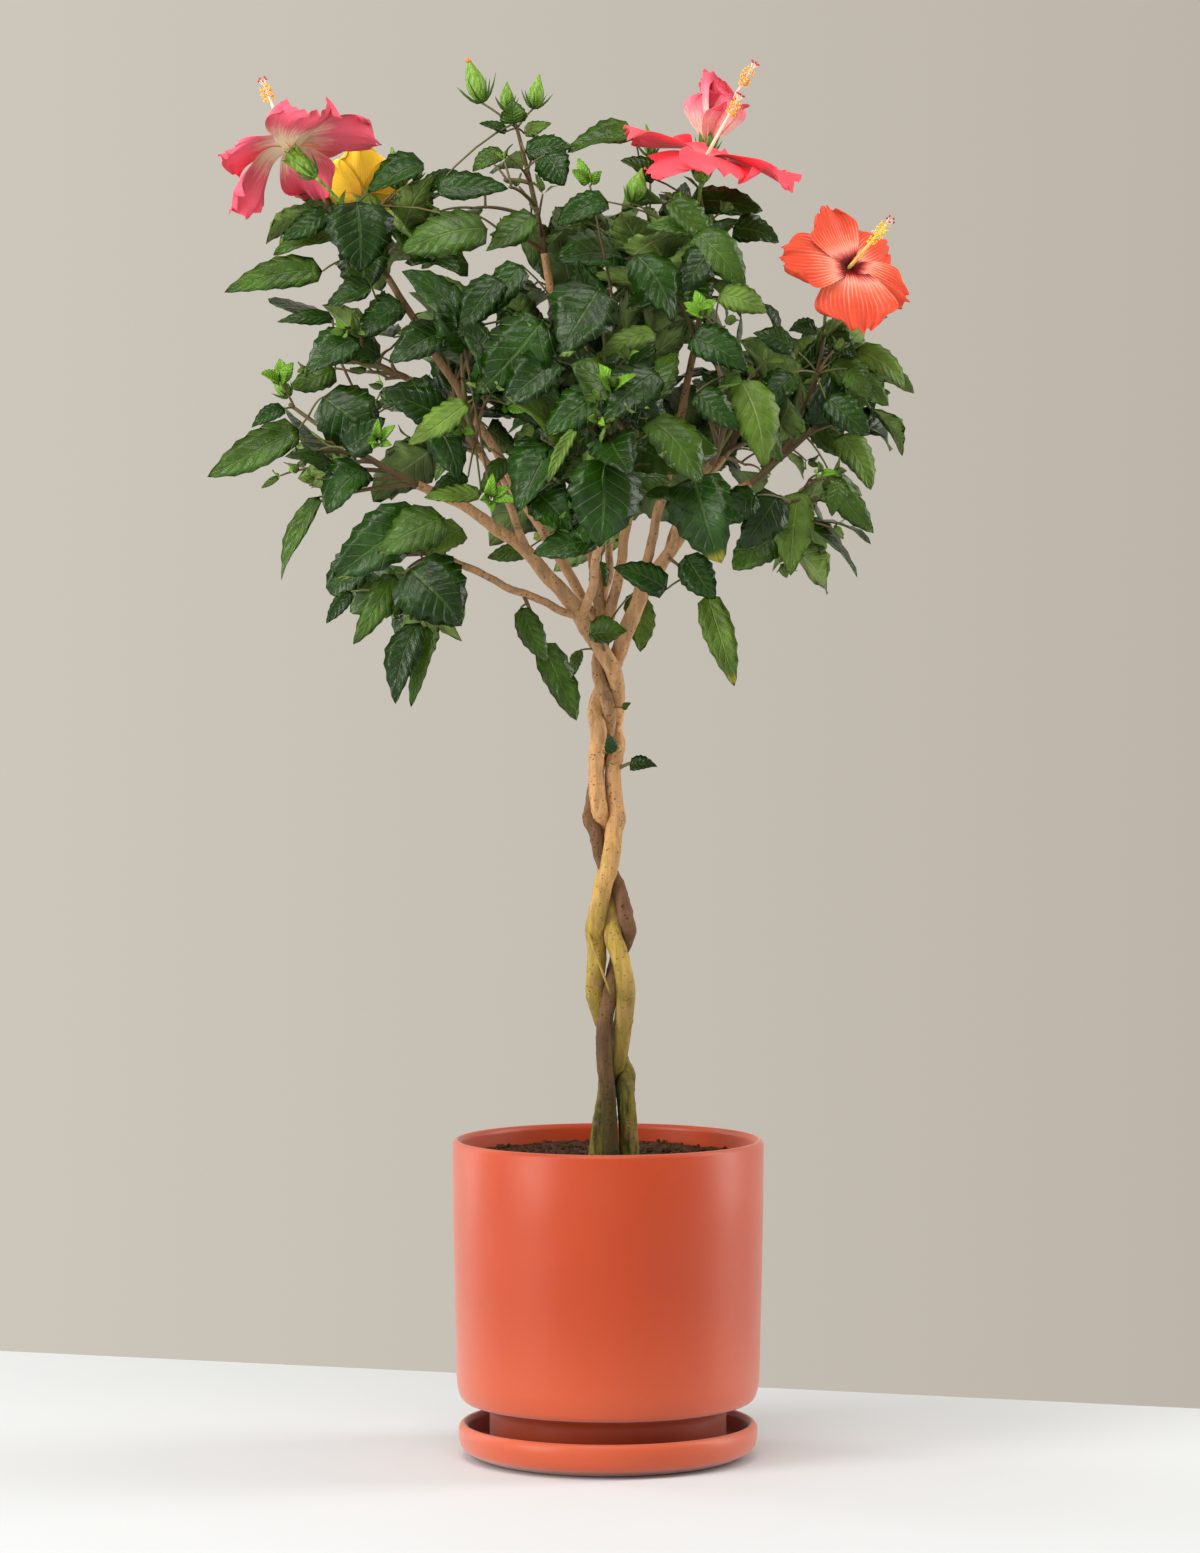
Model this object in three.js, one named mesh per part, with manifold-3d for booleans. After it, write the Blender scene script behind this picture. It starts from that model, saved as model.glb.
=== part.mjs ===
// A braided hibiscus shrub in a round pot that stands on its saucer.
// Lengths are millimetres. The origin is the centre of the saucer's underside, +Z is up,
// +X is to the right of someone facing the plant and +Y points away from them.
import * as THREE from "three";
import { mergeVertices } from "three/addons/utils/BufferGeometryUtils.js";
import Module from "manifold-3d";

const wasm = await Module();
wasm.setup();
const { Manifold, Mesh } = wasm;

// Named sizes.
const CLEAR = 0.35; // gap kept between neighbouring solids
const CUT = CLEAR * 1.3; // how much fatter a limb is made to cut its neighbours clear of it
const ROUND_SIDES = 32; // facets round the pot and the saucer
const SAUCER = { radius: 125, baseRadius: 106, height: 29.5, floor: 7, innerRadius: 117 };
const POT = {
  radius: 130,
  lowRadius: 126.5,
  rimHeight: 266,
  bodyFoot: 45.5,
  footRadius: 99,
  wall: 6.8,
  innerFloor: 22,
};
const SOIL_TOP = 250;
const FORK_HEIGHT = 688; // where the braid opens into boughs
const STEM = { footRadius: 9.5, radius: 7.4, darkRadius: 6.1, sides: 6, steps: 30, flare: 26 };
const BOUGH_SIDES = 5;
const BOUGH_STEPS = 4;
const TWIG = { sides: 3, rootRadius: 1.5, middleRadius: 2.4, tipRadius: 1.7, stalkRadius: 0.75 };
const SHOOT_RADII = [TWIG.rootRadius, TWIG.middleRadius, TWIG.tipRadius];
const LEAF = { length: 68, width: 54, ridge: 1.8, wideAt: 0.42, stalk: 13 };
const STALK_TURN = -0.7; // the sharpest bend from a stalk into its leaf, as a cosine
const MARK_WIDEN = 1.12; // a kite covers less than the oval leaf it stands for
const TIP_MARGIN = 1.5; // how far past its mass's reach a leaf tip may go
const MASS_STEM_TIP = 2.7;
const MASS_STEM_SIDES = 4;
const JOINTS = 16; // places along a shoot where a leaf may stand
const CROWN_CENTRE = [-30, 0, 850];
const GOLDEN_ANGLE = Math.PI * (3 - Math.sqrt(5));

const COLOURS = {
  pot: 0xc95a38,
  soil: 0x4a3020,
  stem: 0xb08a58,
  darkStem: 0x6b5238,
  bough: 0x9a7450,
  leaf: 0x3c6428,
};

// Small vector helpers on [x, y, z] arrays.
const add = (a, b) => [a[0] + b[0], a[1] + b[1], a[2] + b[2]];
const sub = (a, b) => [a[0] - b[0], a[1] - b[1], a[2] - b[2]];
const scale = (a, k) => [a[0] * k, a[1] * k, a[2] * k];
const dot = (a, b) => a[0] * b[0] + a[1] * b[1] + a[2] * b[2];
const cross = (a, b) => [
  a[1] * b[2] - a[2] * b[1],
  a[2] * b[0] - a[0] * b[2],
  a[0] * b[1] - a[1] * b[0],
];
const size = (a) => Math.hypot(a[0], a[1], a[2]);
const unit = (a) => scale(a, 1 / (size(a) || 1));
const mix = (a, b, t) => add(scale(a, 1 - t), scale(b, t));
const UP = [0, 0, 1];

// Repeatable random numbers from 0 to 1.
function seeded(seed) {
  let state = seed;
  return () => {
    state = (state * 16807) % 2147483647;
    return state / 2147483647;
  };
}

// Solids from three.js geometry, and back.
function solidOf(geometry) {
  const bare = geometry.clone();
  bare.deleteAttribute("normal");
  bare.deleteAttribute("uv");
  const merged = mergeVertices(bare, 1e-4);
  return new Manifold(
    new Mesh({
      numProp: 3,
      vertProperties: new Float32Array(merged.attributes.position.array),
      triVerts: new Uint32Array(merged.index.array),
    }),
  );
}

function geometryOf(solid) {
  const mesh = solid.getMesh();
  const geometry = new THREE.BufferGeometry();
  const position = new THREE.BufferAttribute(new Float32Array(mesh.vertProperties), 3);
  geometry.setAttribute("position", position);
  geometry.setIndex(new THREE.BufferAttribute(new Uint32Array(mesh.triVerts), 1));
  geometry.computeVertexNormals();
  return geometry;
}

function solidFrom(points, faces) {
  const geometry = new THREE.BufferGeometry();
  geometry.setAttribute("position", new THREE.Float32BufferAttribute(points.flat(), 3));
  geometry.setIndex(faces.flat());
  return solidOf(geometry);
}

// A closed skin over rings of points, each ring with the same count.
function loft(rings) {
  const sides = rings[0].length;
  const last = (rings.length - 1) * sides;
  const faces = [];
  for (let k = 0; k + 1 < rings.length; k++)
    for (let i = 0; i < sides; i++) {
      const a = k * sides + i;
      const b = k * sides + ((i + 1) % sides);
      faces.push([a, b, b + sides], [a, b + sides, a + sides]);
    }
  for (let i = 1; i + 1 < sides; i++) {
    faces.push([0, i + 1, i]);
    faces.push([last, last + i, last + i + 1]);
  }
  return solidFrom(rings.flat(), faces);
}

// Two directions square to a line of travel, carried along it without twist.
function frames(points) {
  const out = [];
  let u = null;
  points.forEach((point, k) => {
    const before = points[Math.max(k - 1, 0)];
    const after = points[Math.min(k + 1, points.length - 1)];
    const along = unit(sub(after, before));
    const start = Math.abs(along[2]) > 0.9 ? [1, 0, 0] : UP;
    const hint = u ?? start;
    u = unit(sub(hint, scale(along, dot(hint, along))));
    out.push({ along, u, v: cross(along, u) });
  });
  return out;
}

// A limb along a line of points, with a radius at each or an even taper from first to last.
function limbSolid(points, radii, sides) {
  const turned = frames(points);
  const rings = points.map((point, k) => {
    const even = radii[0] + ((radii[1] - radii[0]) * k) / (points.length - 1);
    const radius = radii.length === points.length ? radii[k] : even;
    const ring = [];
    for (let i = 0; i < sides; i++) {
      const angle = (2 * Math.PI * i) / sides;
      const across = scale(turned[k].u, radius * Math.cos(angle));
      ring.push(add(add(point, across), scale(turned[k].v, radius * Math.sin(angle))));
    }
    return ring;
  });
  return loft(rings);
}

// Points along a bend from one end to the other, pulled toward a middle point.
function bendPoints(from, pull, to, steps) {
  const points = [];
  for (let k = 0; k <= steps; k++) {
    const t = k / steps;
    points.push(mix(mix(from, pull, t), mix(pull, to, t), t));
  }
  return points;
}

function pointAlong(points, share) {
  const at = share * (points.length - 1);
  const k = Math.min(Math.floor(at), points.length - 2);
  return mix(points[k], points[k + 1], at - k);
}

function directionAlong(points, share) {
  const k = Math.min(Math.floor(share * (points.length - 1)), points.length - 2);
  return unit(sub(points[k + 1], points[k]));
}

// A leaf on a three-sided stalk, as one solid. The stalk runs from inside a twig into the
// base of the blade, which is ridged along its middle and flat below. The ring where the two
// meet is square to the bend between them.
function leafSolid(root, base, tip, facing, width) {
  const along = unit(sub(tip, base));
  const rise = unit(sub(base, root));
  const side = unit(cross(along, facing));
  const wide = add(mix(base, tip, LEAF.wideAt), scale(cross(side, along), -LEAF.ridge));
  const ring = (centre, heading) => {
    const across = unit(sub(side, scale(heading, dot(side, heading))));
    const up = cross(across, heading);
    return [
      add(centre, add(scale(across, -TWIG.stalkRadius), scale(up, -TWIG.stalkRadius / 2))),
      add(centre, add(scale(across, TWIG.stalkRadius), scale(up, -TWIG.stalkRadius / 2))),
      add(centre, scale(up, TWIG.stalkRadius)),
    ];
  };
  const points = [
    ...ring(root, rise),
    ...ring(base, unit(add(rise, along))),
    add(wide, scale(side, -width / 2)),
    add(wide, scale(side, width / 2)),
    tip,
  ];
  const [left, right, top, wideLeft, wideRight, end] = [3, 4, 5, 6, 7, 8];
  const faces = [[0, 1, 2]];
  for (let i = 0; i < 3; i++) {
    const j = (i + 1) % 3;
    faces.push([i, j + 3, j], [i, i + 3, j + 3]);
  }
  faces.push([top, end, wideLeft], [top, wideLeft, left]);
  faces.push([top, wideRight, end], [top, right, wideRight]);
  faces.push([left, wideLeft, wideRight], [left, wideRight, right], [wideLeft, end, wideRight]);
  return solidFrom(points, faces);
}

// The braid. Each row is a height, then the middle of the left-footed, the dark and the
// right-footed stem there as [across, deep]. Rows mark where one stem crosses another.
const WEAVE = [
  [250, [-9, 7], [3, -8], [18, 4]],
  [308, [0, 8], [0, -8.5], [14, -0.5]],
  [330, [7.5, 3], [-3, -8.5], [9, 18]],
  [362, [12.5, -3], [-3, -8], [-3, 9]],
  [391, [14.5, -7], [2.5, 0.5], [-11, 4.5]],
  [419, [10, -6.5], [8.5, 8], [-9, -1]],
  [433, [4.5, -6], [15.5, 3], [-10.5, 0.5]],
  [447, [3.5, 1], [15.5, -7], [-10, -7]],
  [471, [2, 10], [9.5, -2], [-5, -6.5]],
  [496, [-2, 15], [-3.5, 2], [1.5, -11]],
  [517, [-2.5, 12], [-8.5, -1], [4, -5]],
  [546, [-8, -5], [-13, 7], [5.5, 1]],
  [572, [-10, -5], [-9, 8.5], [4, -1.5]],
  [590, [-9.5, -6.5], [-4, 6.5], [6.5, 3]],
  [608, [-7.5, -9.5], [0.5, 2.5], [5, 15]],
  [622, [-11, -1.5], [1, -5.5], [7, 7]],
  [640, [-5, 6.5], [-4, -6.5], [7.5, -0.5]],
  [656, [2, 8], [-8.5, -1], [5, -6.5]],
  [671, [9, 6], [-7, 5.5], [-4, -8]],
  [FORK_HEIGHT, [13, -3], [-1.5, 9.5], [-14, -6]],
];

// Where the three stems are at a height, eased between rows of the weave.
function weaveAt(height) {
  let k = 0;
  while (k < WEAVE.length - 2 && WEAVE[k + 1][0] < height) k++;
  const share = (height - WEAVE[k][0]) / (WEAVE[k + 1][0] - WEAVE[k][0]);
  const rows = [k - 1, k, k + 1, k + 2].map((i) => WEAVE[Math.min(Math.max(i, 0), WEAVE.length - 1)]);
  return [1, 2, 3].map((stem) =>
    [0, 1].map((axis) => {
      const [a, b, c, d] = rows.map((row) => row[stem][axis]);
      const curve = a * -0.5 + b * 1.5 - c * 1.5 + d * 0.5;
      const turn = a - 2.5 * b + 2 * c - 0.5 * d;
      return ((curve * share + turn) * share + (c - a) * 0.5) * share + b;
    }),
  );
}

function stemRadius(stem, height) {
  const body = stem === 1 ? STEM.darkRadius : STEM.radius;
  const flare = Math.max(0, 1 - (height - SOIL_TOP) / STEM.flare);
  const slim = 1 - 0.14 * Math.min(1, Math.max(0, (height - 480) / 90));
  return body * slim + (STEM.footRadius - STEM.radius) * flare * flare;
}

// The stems' middles at a height, pushed apart until none touches another.
function settledStems(height) {
  const places = weaveAt(height);
  for (let round = 0; round < 60; round++)
    for (const [i, j] of [[0, 1], [0, 2], [1, 2]]) {
      const need = stemRadius(i, height) + stemRadius(j, height) + 3 * CLEAR;
      const apart = sub([...places[j], 0], [...places[i], 0]);
      const short = need - size(apart);
      if (short <= 0) continue;
      const push = scale(unit(apart), short * 0.52);
      places[i] = [places[i][0] - push[0], places[i][1] - push[1]];
      places[j] = [places[j][0] + push[0], places[j][1] + push[1]];
    }
  return places;
}

// A stem, or with extra thickness and height the shape that other limbs are cut back by.
function stemSolid(stem, extra = 0) {
  const rings = [];
  const foot = SOIL_TOP + CLEAR;
  for (let k = 0; k <= STEM.steps; k++) {
    const height = foot + ((FORK_HEIGHT - foot) * k) / STEM.steps + (k === STEM.steps ? extra : 0);
    const [x, y] = settledStems(height)[stem];
    const radius = stemRadius(stem, height) + extra;
    const ring = [];
    for (let i = 0; i < STEM.sides; i++) {
      const angle = (2 * Math.PI * i) / STEM.sides;
      ring.push([x + radius * Math.cos(angle), y + radius * Math.sin(angle), height]);
    }
    rings.push(ring);
  }
  return loft(rings);
}

// Boughs: the point that bends each one, where it ends, and its two radii. Each starts inside
// the stem's tip, or on its parent bough's middle line at a share of it, and is cut clear there.
const STEM_NAMES = ["stem_left_foot", "stem_dark", "stem_right_foot"];
const BOUGHS = [
  {
    name: "bough_left", stem: 2,
    pull: [-66, -24, 776], to: [-157, -45, 810], radii: [6.6, 3.4],
  },
  {
    name: "bough_right", stem: 0,
    pull: [48, -10, 778], to: [118, -14, 812], radii: [6.6, 3.2],
  },
  {
    name: "bough_centre_left", stem: 1,
    pull: [-24, 16, 820], to: [-53, 12, 1004], radii: [4.8, 2.9],
  },
  {
    name: "bough_left_up", stem: 1,
    pull: [-62, 30, 790], to: [-184, 34, 985], radii: [4.6, 2.9],
  },
  {
    name: "bough_centre", stem: 1,
    pull: [20, 12, 780], to: [22, 4, 846], radii: [4.8, 3.4],
  },
  {
    name: "bough_left_low", parent: "bough_left", share: 0.1,
    pull: [-75, -55, 722], to: [-128, -84, 748], radii: [3.4, 2.9],
  },
  {
    name: "bough_left_side", parent: "bough_left_up", share: 0.68,
    pull: [-140, 10, 890], to: [-168, -8, 900], radii: [3.4, 2.9],
  },
  {
    name: "bough_left_back", parent: "bough_left_up", share: 0.2,
    pull: [-60, 70, 790], to: [-108, 100, 838], radii: [3.6, 2.9],
  },
  {
    name: "bough_front_left", parent: "bough_left", share: 0.42,
    pull: [-78, -66, 790], to: [-104, -104, 836], radii: [3.4, 2.9],
  },
  {
    name: "bough_front", parent: "bough_left", share: 0.08,
    pull: [-8, -48, 742], to: [-4, -112, 786], radii: [4.2, 2.9],
  },
  {
    name: "bough_mid_right", parent: "bough_right", share: 0.1,
    pull: [46, 4, 800], to: [72, -14, 925], radii: [4.4, 2.9],
  },
  {
    name: "bough_front_right", parent: "bough_right", share: 0.46,
    pull: [58, -54, 790], to: [84, -98, 826], radii: [3.4, 2.9],
  },
  {
    name: "bough_right_low", parent: "bough_right", share: 0.62,
    pull: [98, -34, 782], to: [124, -48, 790], radii: [3.4, 2.9],
  },
  {
    name: "bough_right_back", parent: "bough_right", share: 0.4,
    pull: [62, 40, 796], to: [98, 92, 836], radii: [3.6, 2.9],
  },
  {
    name: "bough_back", parent: "bough_centre_left", share: 0.08,
    pull: [4, 60, 744], to: [2, 112, 790], radii: [4, 2.9],
  },
  {
    name: "bough_back_top", parent: "bough_centre_left", share: 0.5,
    pull: [-30, 54, 900], to: [-18, 82, 948], radii: [3.4, 2.9],
  },
];

// Masses of foliage. Each fills an egg-shaped space round its centre, grows from its bough's
// tip to the end of its own stem, and sends its shoots out evenly by the seeded rule, which
// gives it no more than its number of leaves.
// marks: the leaves that draw the outline, as [base x, base z, tip x, tip z, deep, width].
// buds: the same, with the radius at their waist last.
const MASSES = [
  {
    name: "foliage_left", bough: "bough_left", seed: 11, shoots: 8, leaves: 20,
    centre: [-245, -45, 822], reach: [84, 72, 72], tip: [-262, -52, 876],
    marks: [
      [-254, 855, -329, 816, -50, 32], [-265, 872, -292, 856, -60, 14], [-236, 800, -267, 731, -70, 17],
      [-197, 822, -229, 785, -85, 36], [-232, 880, -186, 845, -92, 50],
    ],
    buds: [[-262, 882, -276, 900, -52, 6]],
  },
  {
    name: "foliage_left_low", bough: "bough_left_low", seed: 23, shoots: 5, leaves: 6,
    centre: [-166, -96, 738], reach: [60, 62, 52], tip: [-186, -98, 752],
    marks: [
      [-150, 785, -223, 733, -110, 45], [-132, 781, -186, 752, -132, 38], [-173, 736, -207, 679, -100, 22],
      [-209, 722, -229, 696, -96, 13], [-160, 740, -118, 694, -138, 58], [-152, 697, -172, 631, -118, 27],
      [-147, 694, -160, 628, -104, 15],
    ],
  },
  {
    name: "foliage_left_mid", bough: "bough_left_side", seed: 37, shoots: 9, leaves: 25,
    centre: [-205, -20, 918], reach: [74, 84, 58], tip: [-230, -20, 930],
    marks: [[-227, 948, -273, 944, -30, 13], [-194, 972, -229, 955, -76, 24]],
  },
  {
    name: "foliage_left_top", bough: "bough_left_up", seed: 41, shoots: 8, leaves: 23,
    centre: [-208, 8, 1018], reach: [76, 84, 50], tip: [-214, 0, 1040],
    marks: [
      [-236, 987, -317, 969, -20, 27], [-230, 1035, -268, 1012, -28, 21], [-227, 1016, -277, 1000, -14, 19],
      [-205, 1039, -202, 981, -84, 54], [-152, 1055, -124, 1070, -10, 15], [-152, 1075, -198, 1050, -30, 29],
      [-98, 1016, -169, 997, -92, 40],
    ],
    buds: [[-174, 1056, -179, 1090, -12, 8], [-160, 1064, -157, 1079, -2, 5]],
    blooms: [
      {
        base: [-238, -46, 1062], centre: [-264, -34, 1088], axis: [-0.3, 0.6, 0.74],
        radius: 70, open: 84, turn: 12, column: 68,
      },
      {
        base: [-196, 30, 1046], centre: [-202, 44, 1052], axis: [0.05, 0.8, 0.6],
        radius: 42, open: 70, turn: 20, column: 0,
      },
    ],
  },
  {
    name: "foliage_top", bough: "bough_centre_left", seed: 53, shoots: 9, leaves: 24,
    centre: [-86, 0, 1040], reach: [60, 80, 58], tip: [-77, 4, 1112],
    marks: [
      [-142, 1055, -82, 1053, -34, 24], [-86, 1085, -112, 1069, -12, 17], [-84, 1104, -107, 1110, 0, 10],
      [-70, 1104, -47, 1112, 16, 13], [-77, 1110, -80, 1129, -6, 22], [-69, 1087, -29, 1091, 0, 21],
      [-52, 1083, -36, 1057, -16, 29],
    ],
    buds: [[-105, 1128, -117, 1166, 2, 8.5], [-84, 1122, -84, 1146, 6, 6], [-62, 1124, -57, 1152, 8, 7]],
  },
  {
    name: "foliage_top_right", bough: "bough_mid_right", seed: 67, shoots: 9, leaves: 24,
    centre: [60, 4, 1000], reach: [82, 88, 66], tip: [74, 0, 1046],
    marks: [
      [22, 1104, -34, 1087, -64, 23], [39, 1062, 10, 1077, -26, 19], [68, 1048, 129, 1039, 16, 30],
      [104, 1025, 142, 1012, 6, 27], [87, 1019, 29, 1019, -70, 20], [72, 1014, 110, 964, -92, 32],
    ],
    buds: [[20, 1042, 28, 1070, -40, 9], [36, 1090, 32, 1117, 66, 5]],
    blooms: [
      {
        base: [77, -16, 1060], centre: [78, -14, 1076], axis: [0.3, 0.12, 0.95],
        radius: 74, open: 90, turn: 6, column: 70,
      },
      {
        base: [84, 66, 1090], centre: [86, 66, 1102], axis: [0.32, 0, 0.95],
        radius: 56, open: 17, turn: 30, column: 44,
      },
    ],
  },
  {
    name: "foliage_right_top", bough: "bough_right", seed: 71, shoots: 8, leaves: 20,
    centre: [170, -8, 888], reach: [66, 88, 76], tip: [180, -14, 940],
    marks: [
      [204, 922, 245, 889, -20, 25], [183, 910, 231, 875, -34, 28], [182, 933, 204, 915, -24, 20],
      [172, 939, 149, 937, -20, 17], [152, 920, 118, 933, -66, 23], [192, 852, 217, 806, -24, 28],
      [182, 820, 218, 770, -50, 25],
    ],
    blooms: [
      {
        base: [184, -22, 976], centre: [200, -42, 992], axis: [0.3, -0.84, 0.45],
        radius: 58, open: 76, turn: 18, column: 62,
      },
    ],
  },
  {
    name: "foliage_right_low", bough: "bough_right_low", seed: 83, shoots: 7, leaves: 15,
    centre: [146, -62, 788], reach: [62, 66, 50], tip: [166, -56, 800],
    marks: [
      [156, 804, 149, 735, -70, 31], [139, 800, 106, 757, -98, 34], [137, 768, 102, 740, -60, 36],
      [189, 812, 182, 783, -84, 18],
    ],
  },
  {
    name: "foliage_front", bough: "bough_front", seed: 97, shoots: 8, leaves: 20,
    centre: [-6, -160, 842], reach: [86, 70, 96], tip: [-2, -158, 890],
    marks: [
      [68, 814, 90, 744, -176, 50], [-3, 827, -7, 756, -206, 56], [-7, 962, -40, 908, -176, 58],
      [31, 858, 74, 806, -196, 38], [39, 895, -4, 854, -204, 40], [-7, 879, -50, 847, -196, 34],
    ],
  },
  {
    name: "foliage_front_left", bough: "bough_front_left", seed: 103, shoots: 8, leaves: 22,
    centre: [-116, -132, 896], reach: [62, 66, 76], tip: [-118, -128, 930],
    marks: [[-52, 937, -105, 879, -178, 50]],
  },
  {
    name: "foliage_front_right", bough: "bough_front_right", seed: 113, shoots: 8, leaves: 22,
    centre: [96, -126, 898], reach: [62, 66, 76], tip: [94, -124, 930],
    marks: [[106, 891, 124, 820, -156, 36]],
  },
  {
    name: "foliage_core", bough: "bough_centre", seed: 127, shoots: 8, leaves: 22,
    centre: [-26, -16, 912], reach: [76, 60, 66], tip: [6, -30, 950],
    marks: [],
  },
  {
    name: "foliage_back", bough: "bough_back", seed: 131, shoots: 8, leaves: 24,
    centre: [-2, 158, 838], reach: [88, 74, 88], tip: [-2, 156, 880],
    marks: [],
  },
  {
    name: "foliage_back_left", bough: "bough_left_back", seed: 149, shoots: 8, leaves: 23,
    centre: [-136, 124, 888], reach: [72, 74, 82], tip: [-138, 124, 930],
    marks: [],
  },
  {
    name: "foliage_back_right", bough: "bough_right_back", seed: 157, shoots: 8, leaves: 23,
    centre: [122, 124, 874], reach: [74, 74, 84], tip: [124, 124, 920],
    marks: [],
  },
  {
    name: "foliage_back_top", bough: "bough_back_top", seed: 163, shoots: 7, leaves: 21,
    centre: [-10, 110, 992], reach: [80, 70, 62], tip: [-8, 108, 1020],
    marks: [],
  },
];

// Small sprays from the side of a bough or a stem, with leaves only where the marks put them.
const SPRAYS = [
  {
    name: "spray_low_left", parent: "bough_left_low", share: 0.45, tip: [-58, -46, 690],
    marks: [[-72, 709, -50, 664, -48, 21], [-54, 680, -26, 616, -44, 27]],
  },
  {
    name: "spray_low_right", parent: "bough_right", share: 0.42, tip: [68, -36, 734],
    marks: [[82, 720, 104, 644, -36, 25], [64, 752, 88, 716, -44, 28], [48, 724, 4, 742, -52, 25]],
  },
  {
    name: "spray_fork", stem: 2, height: 668, tip: [-6, -26, 684],
    marks: [[-16, 687, 16, 690, -27, 25]],
  },
  {
    name: "spray_stem", stem: 2, height: 572, tip: [22, -8, 581],
    marks: [[18, 578, 41, 577, -12, 13]],
  },
];

// Everything placed so far, with its box, to keep what comes next clear of it.
const placed = [];

function boxesMeet(a, b) {
  return [0, 1, 2].every(
    (i) => a.min[i] - CLEAR < b.max[i] && b.min[i] - CLEAR < a.max[i],
  );
}

// Whether a solid keeps the gap to every piece but those it is allowed to meet.
function isClear(solid, mayMeet) {
  const box = solid.boundingBox();
  return placed.every(
    (other) =>
      mayMeet(other) ||
      !boxesMeet(box, other.box) ||
      solid.minGap(other.solid, 2 * CLEAR) >= CLEAR * 0.9,
  );
}

function place(solid, owner, kind, wide = solid) {
  const piece = { solid, owner, kind, wide, box: solid.boundingBox() };
  placed.push(piece);
  return piece;
}

// A limb with the clear gap cut between it and every stem and bough already there.
function cutClear(solid) {
  for (const other of placed)
    if (boxesMeet(solid.boundingBox(), other.box)) solid = solid.subtract(other.wide);
  return largestBody(solid);
}

function largestBody(solid) {
  const bodies = solid.decompose();
  return bodies.reduce((best, body) => (body.volume() > best.volume() ? body : best));
}

// Even directions over a ball, turned and jittered by the mass's own numbers.
function shootDirection(k, count, random) {
  const height = 1 - (2 * (k + 0.5)) / count;
  const around = k * GOLDEN_ANGLE + 0.5 * (random() - 0.5);
  const flat = Math.sqrt(Math.max(0, 1 - height * height));
  return [flat * Math.cos(around), flat * Math.sin(around), height];
}

function withinSpace(point, mass, margin) {
  const q = [0, 1, 2].map((i) => (point[i] - mass.centre[i]) / mass.reach[i]);
  return size(q) <= margin;
}

// The leaf that a shoot carries at one of its joints.
function ruleLeaf(shoot, share, angle, random) {
  const at = pointAlong(shoot, share);
  const along = directionAlong(shoot, share);
  const u = unit(cross(along, Math.abs(along[2]) > 0.9 ? [1, 0, 0] : UP));
  const v = cross(along, u);
  const side = add(scale(u, Math.cos(angle)), scale(v, Math.sin(angle)));
  const outward = unit(sub(at, CROWN_CENTRE));
  const droop = 0.1 + 0.5 * random();
  const length = LEAF.length * (0.82 + 0.34 * random());
  let aim = add(scale(side, 0.75), scale(along, 0.4));
  aim = add(aim, scale(outward, 0.45));
  aim = unit(add(aim, [0, 0, -droop]));
  const swing = 2 * Math.PI * random();
  const sway = [Math.cos(swing), Math.sin(swing), 0];
  const facing = add(add(scale(outward, 0.7), scale(UP, 0.4)), scale(sway, 0.75));
  return { at, aim, length, facing };
}

// One petal's outline as [share of its fifth of a turn, share of its length].
const PETAL_OUTLINE = [
  [-0.5, 0.42],
  [-0.3, 0.9],
  [0.05, 1],
  [0.32, 0.88],
];

function growShoots(mass, stem) {
  const random = seeded(mass.seed);
  const shoots = [];
  for (let k = 0; k < mass.shoots; k++) {
    const aim = shootDirection(k, mass.shoots, random);
    const spread = 0.4 + 0.2 * random();
    const end = add(mass.centre, aim.map((a, i) => a * mass.reach[i] * spread));
    const share = 0.08 + 0.8 * Math.min(1, Math.max(0, 0.5 + 0.5 * aim[2])) * (0.8 + 0.2 * random());
    const root = pointAlong(stem, share);
    const length = size(sub(end, root));
    const pull = add(mix(root, end, 0.5), scale(directionAlong(stem, share), 0.16 * length));
    const points = bendPoints(root, pull, end, 2);
    const leaves = [];
    let angle = 2 * Math.PI * random();
    for (let j = 0; j < JOINTS; j++) {
      angle += GOLDEN_ANGLE;
      leaves.push(ruleLeaf(points, 0.96 - (0.76 * (j + 0.4 * random())) / JOINTS, angle, random));
    }
    shoots.push({ points, leaves });
  }
  return shoots;
}

// The places on a mass's own twigs that a stalk could start from, nearest first.
function stalkRoots(point, lines) {
  const spots = [];
  for (const line of lines)
    for (const share of [0.15, 0.3, 0.45, 0.6, 0.75, 0.9, 0.97]) {
      const at = pointAlong(line, share);
      const far = size(sub(at, point));
      if (far > 4) spots.push({ at, far });
    }
  return spots.sort((a, b) => a.far - b.far).slice(0, 24);
}

// An open flower as one pleated sheet: a hub in front and behind, and five petals' outline.
function corollaSolid(bloom) {
  const axis = unit(bloom.axis);
  const u = unit(cross(axis, Math.abs(axis[0]) > 0.8 ? [0, 1, 0] : [1, 0, 0]));
  const v = cross(axis, u);
  const open = (bloom.open * Math.PI) / 180;
  const start = (bloom.turn * Math.PI) / 180;
  const points = [add(bloom.centre, scale(axis, 3)), add(bloom.centre, scale(axis, -3))];
  for (let k = 0; k < 5; k++)
    for (const [turn, reach] of PETAL_OUTLINE) {
      const around = start + (2 * Math.PI * (k + turn)) / 5;
      const across = add(scale(u, Math.cos(around)), scale(v, Math.sin(around)));
      const aim = add(scale(axis, Math.cos(open)), scale(across, Math.sin(open)));
      points.push(add(bloom.centre, scale(aim, bloom.radius * reach)));
    }
  const rim = points.length - 2;
  const faces = [];
  for (let i = 0; i < rim; i++) {
    const a = 2 + i;
    const b = 2 + ((i + 1) % rim);
    faces.push([0, a, b], [1, b, a]);
  }
  return solidFrom(points, faces);
}

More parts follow.
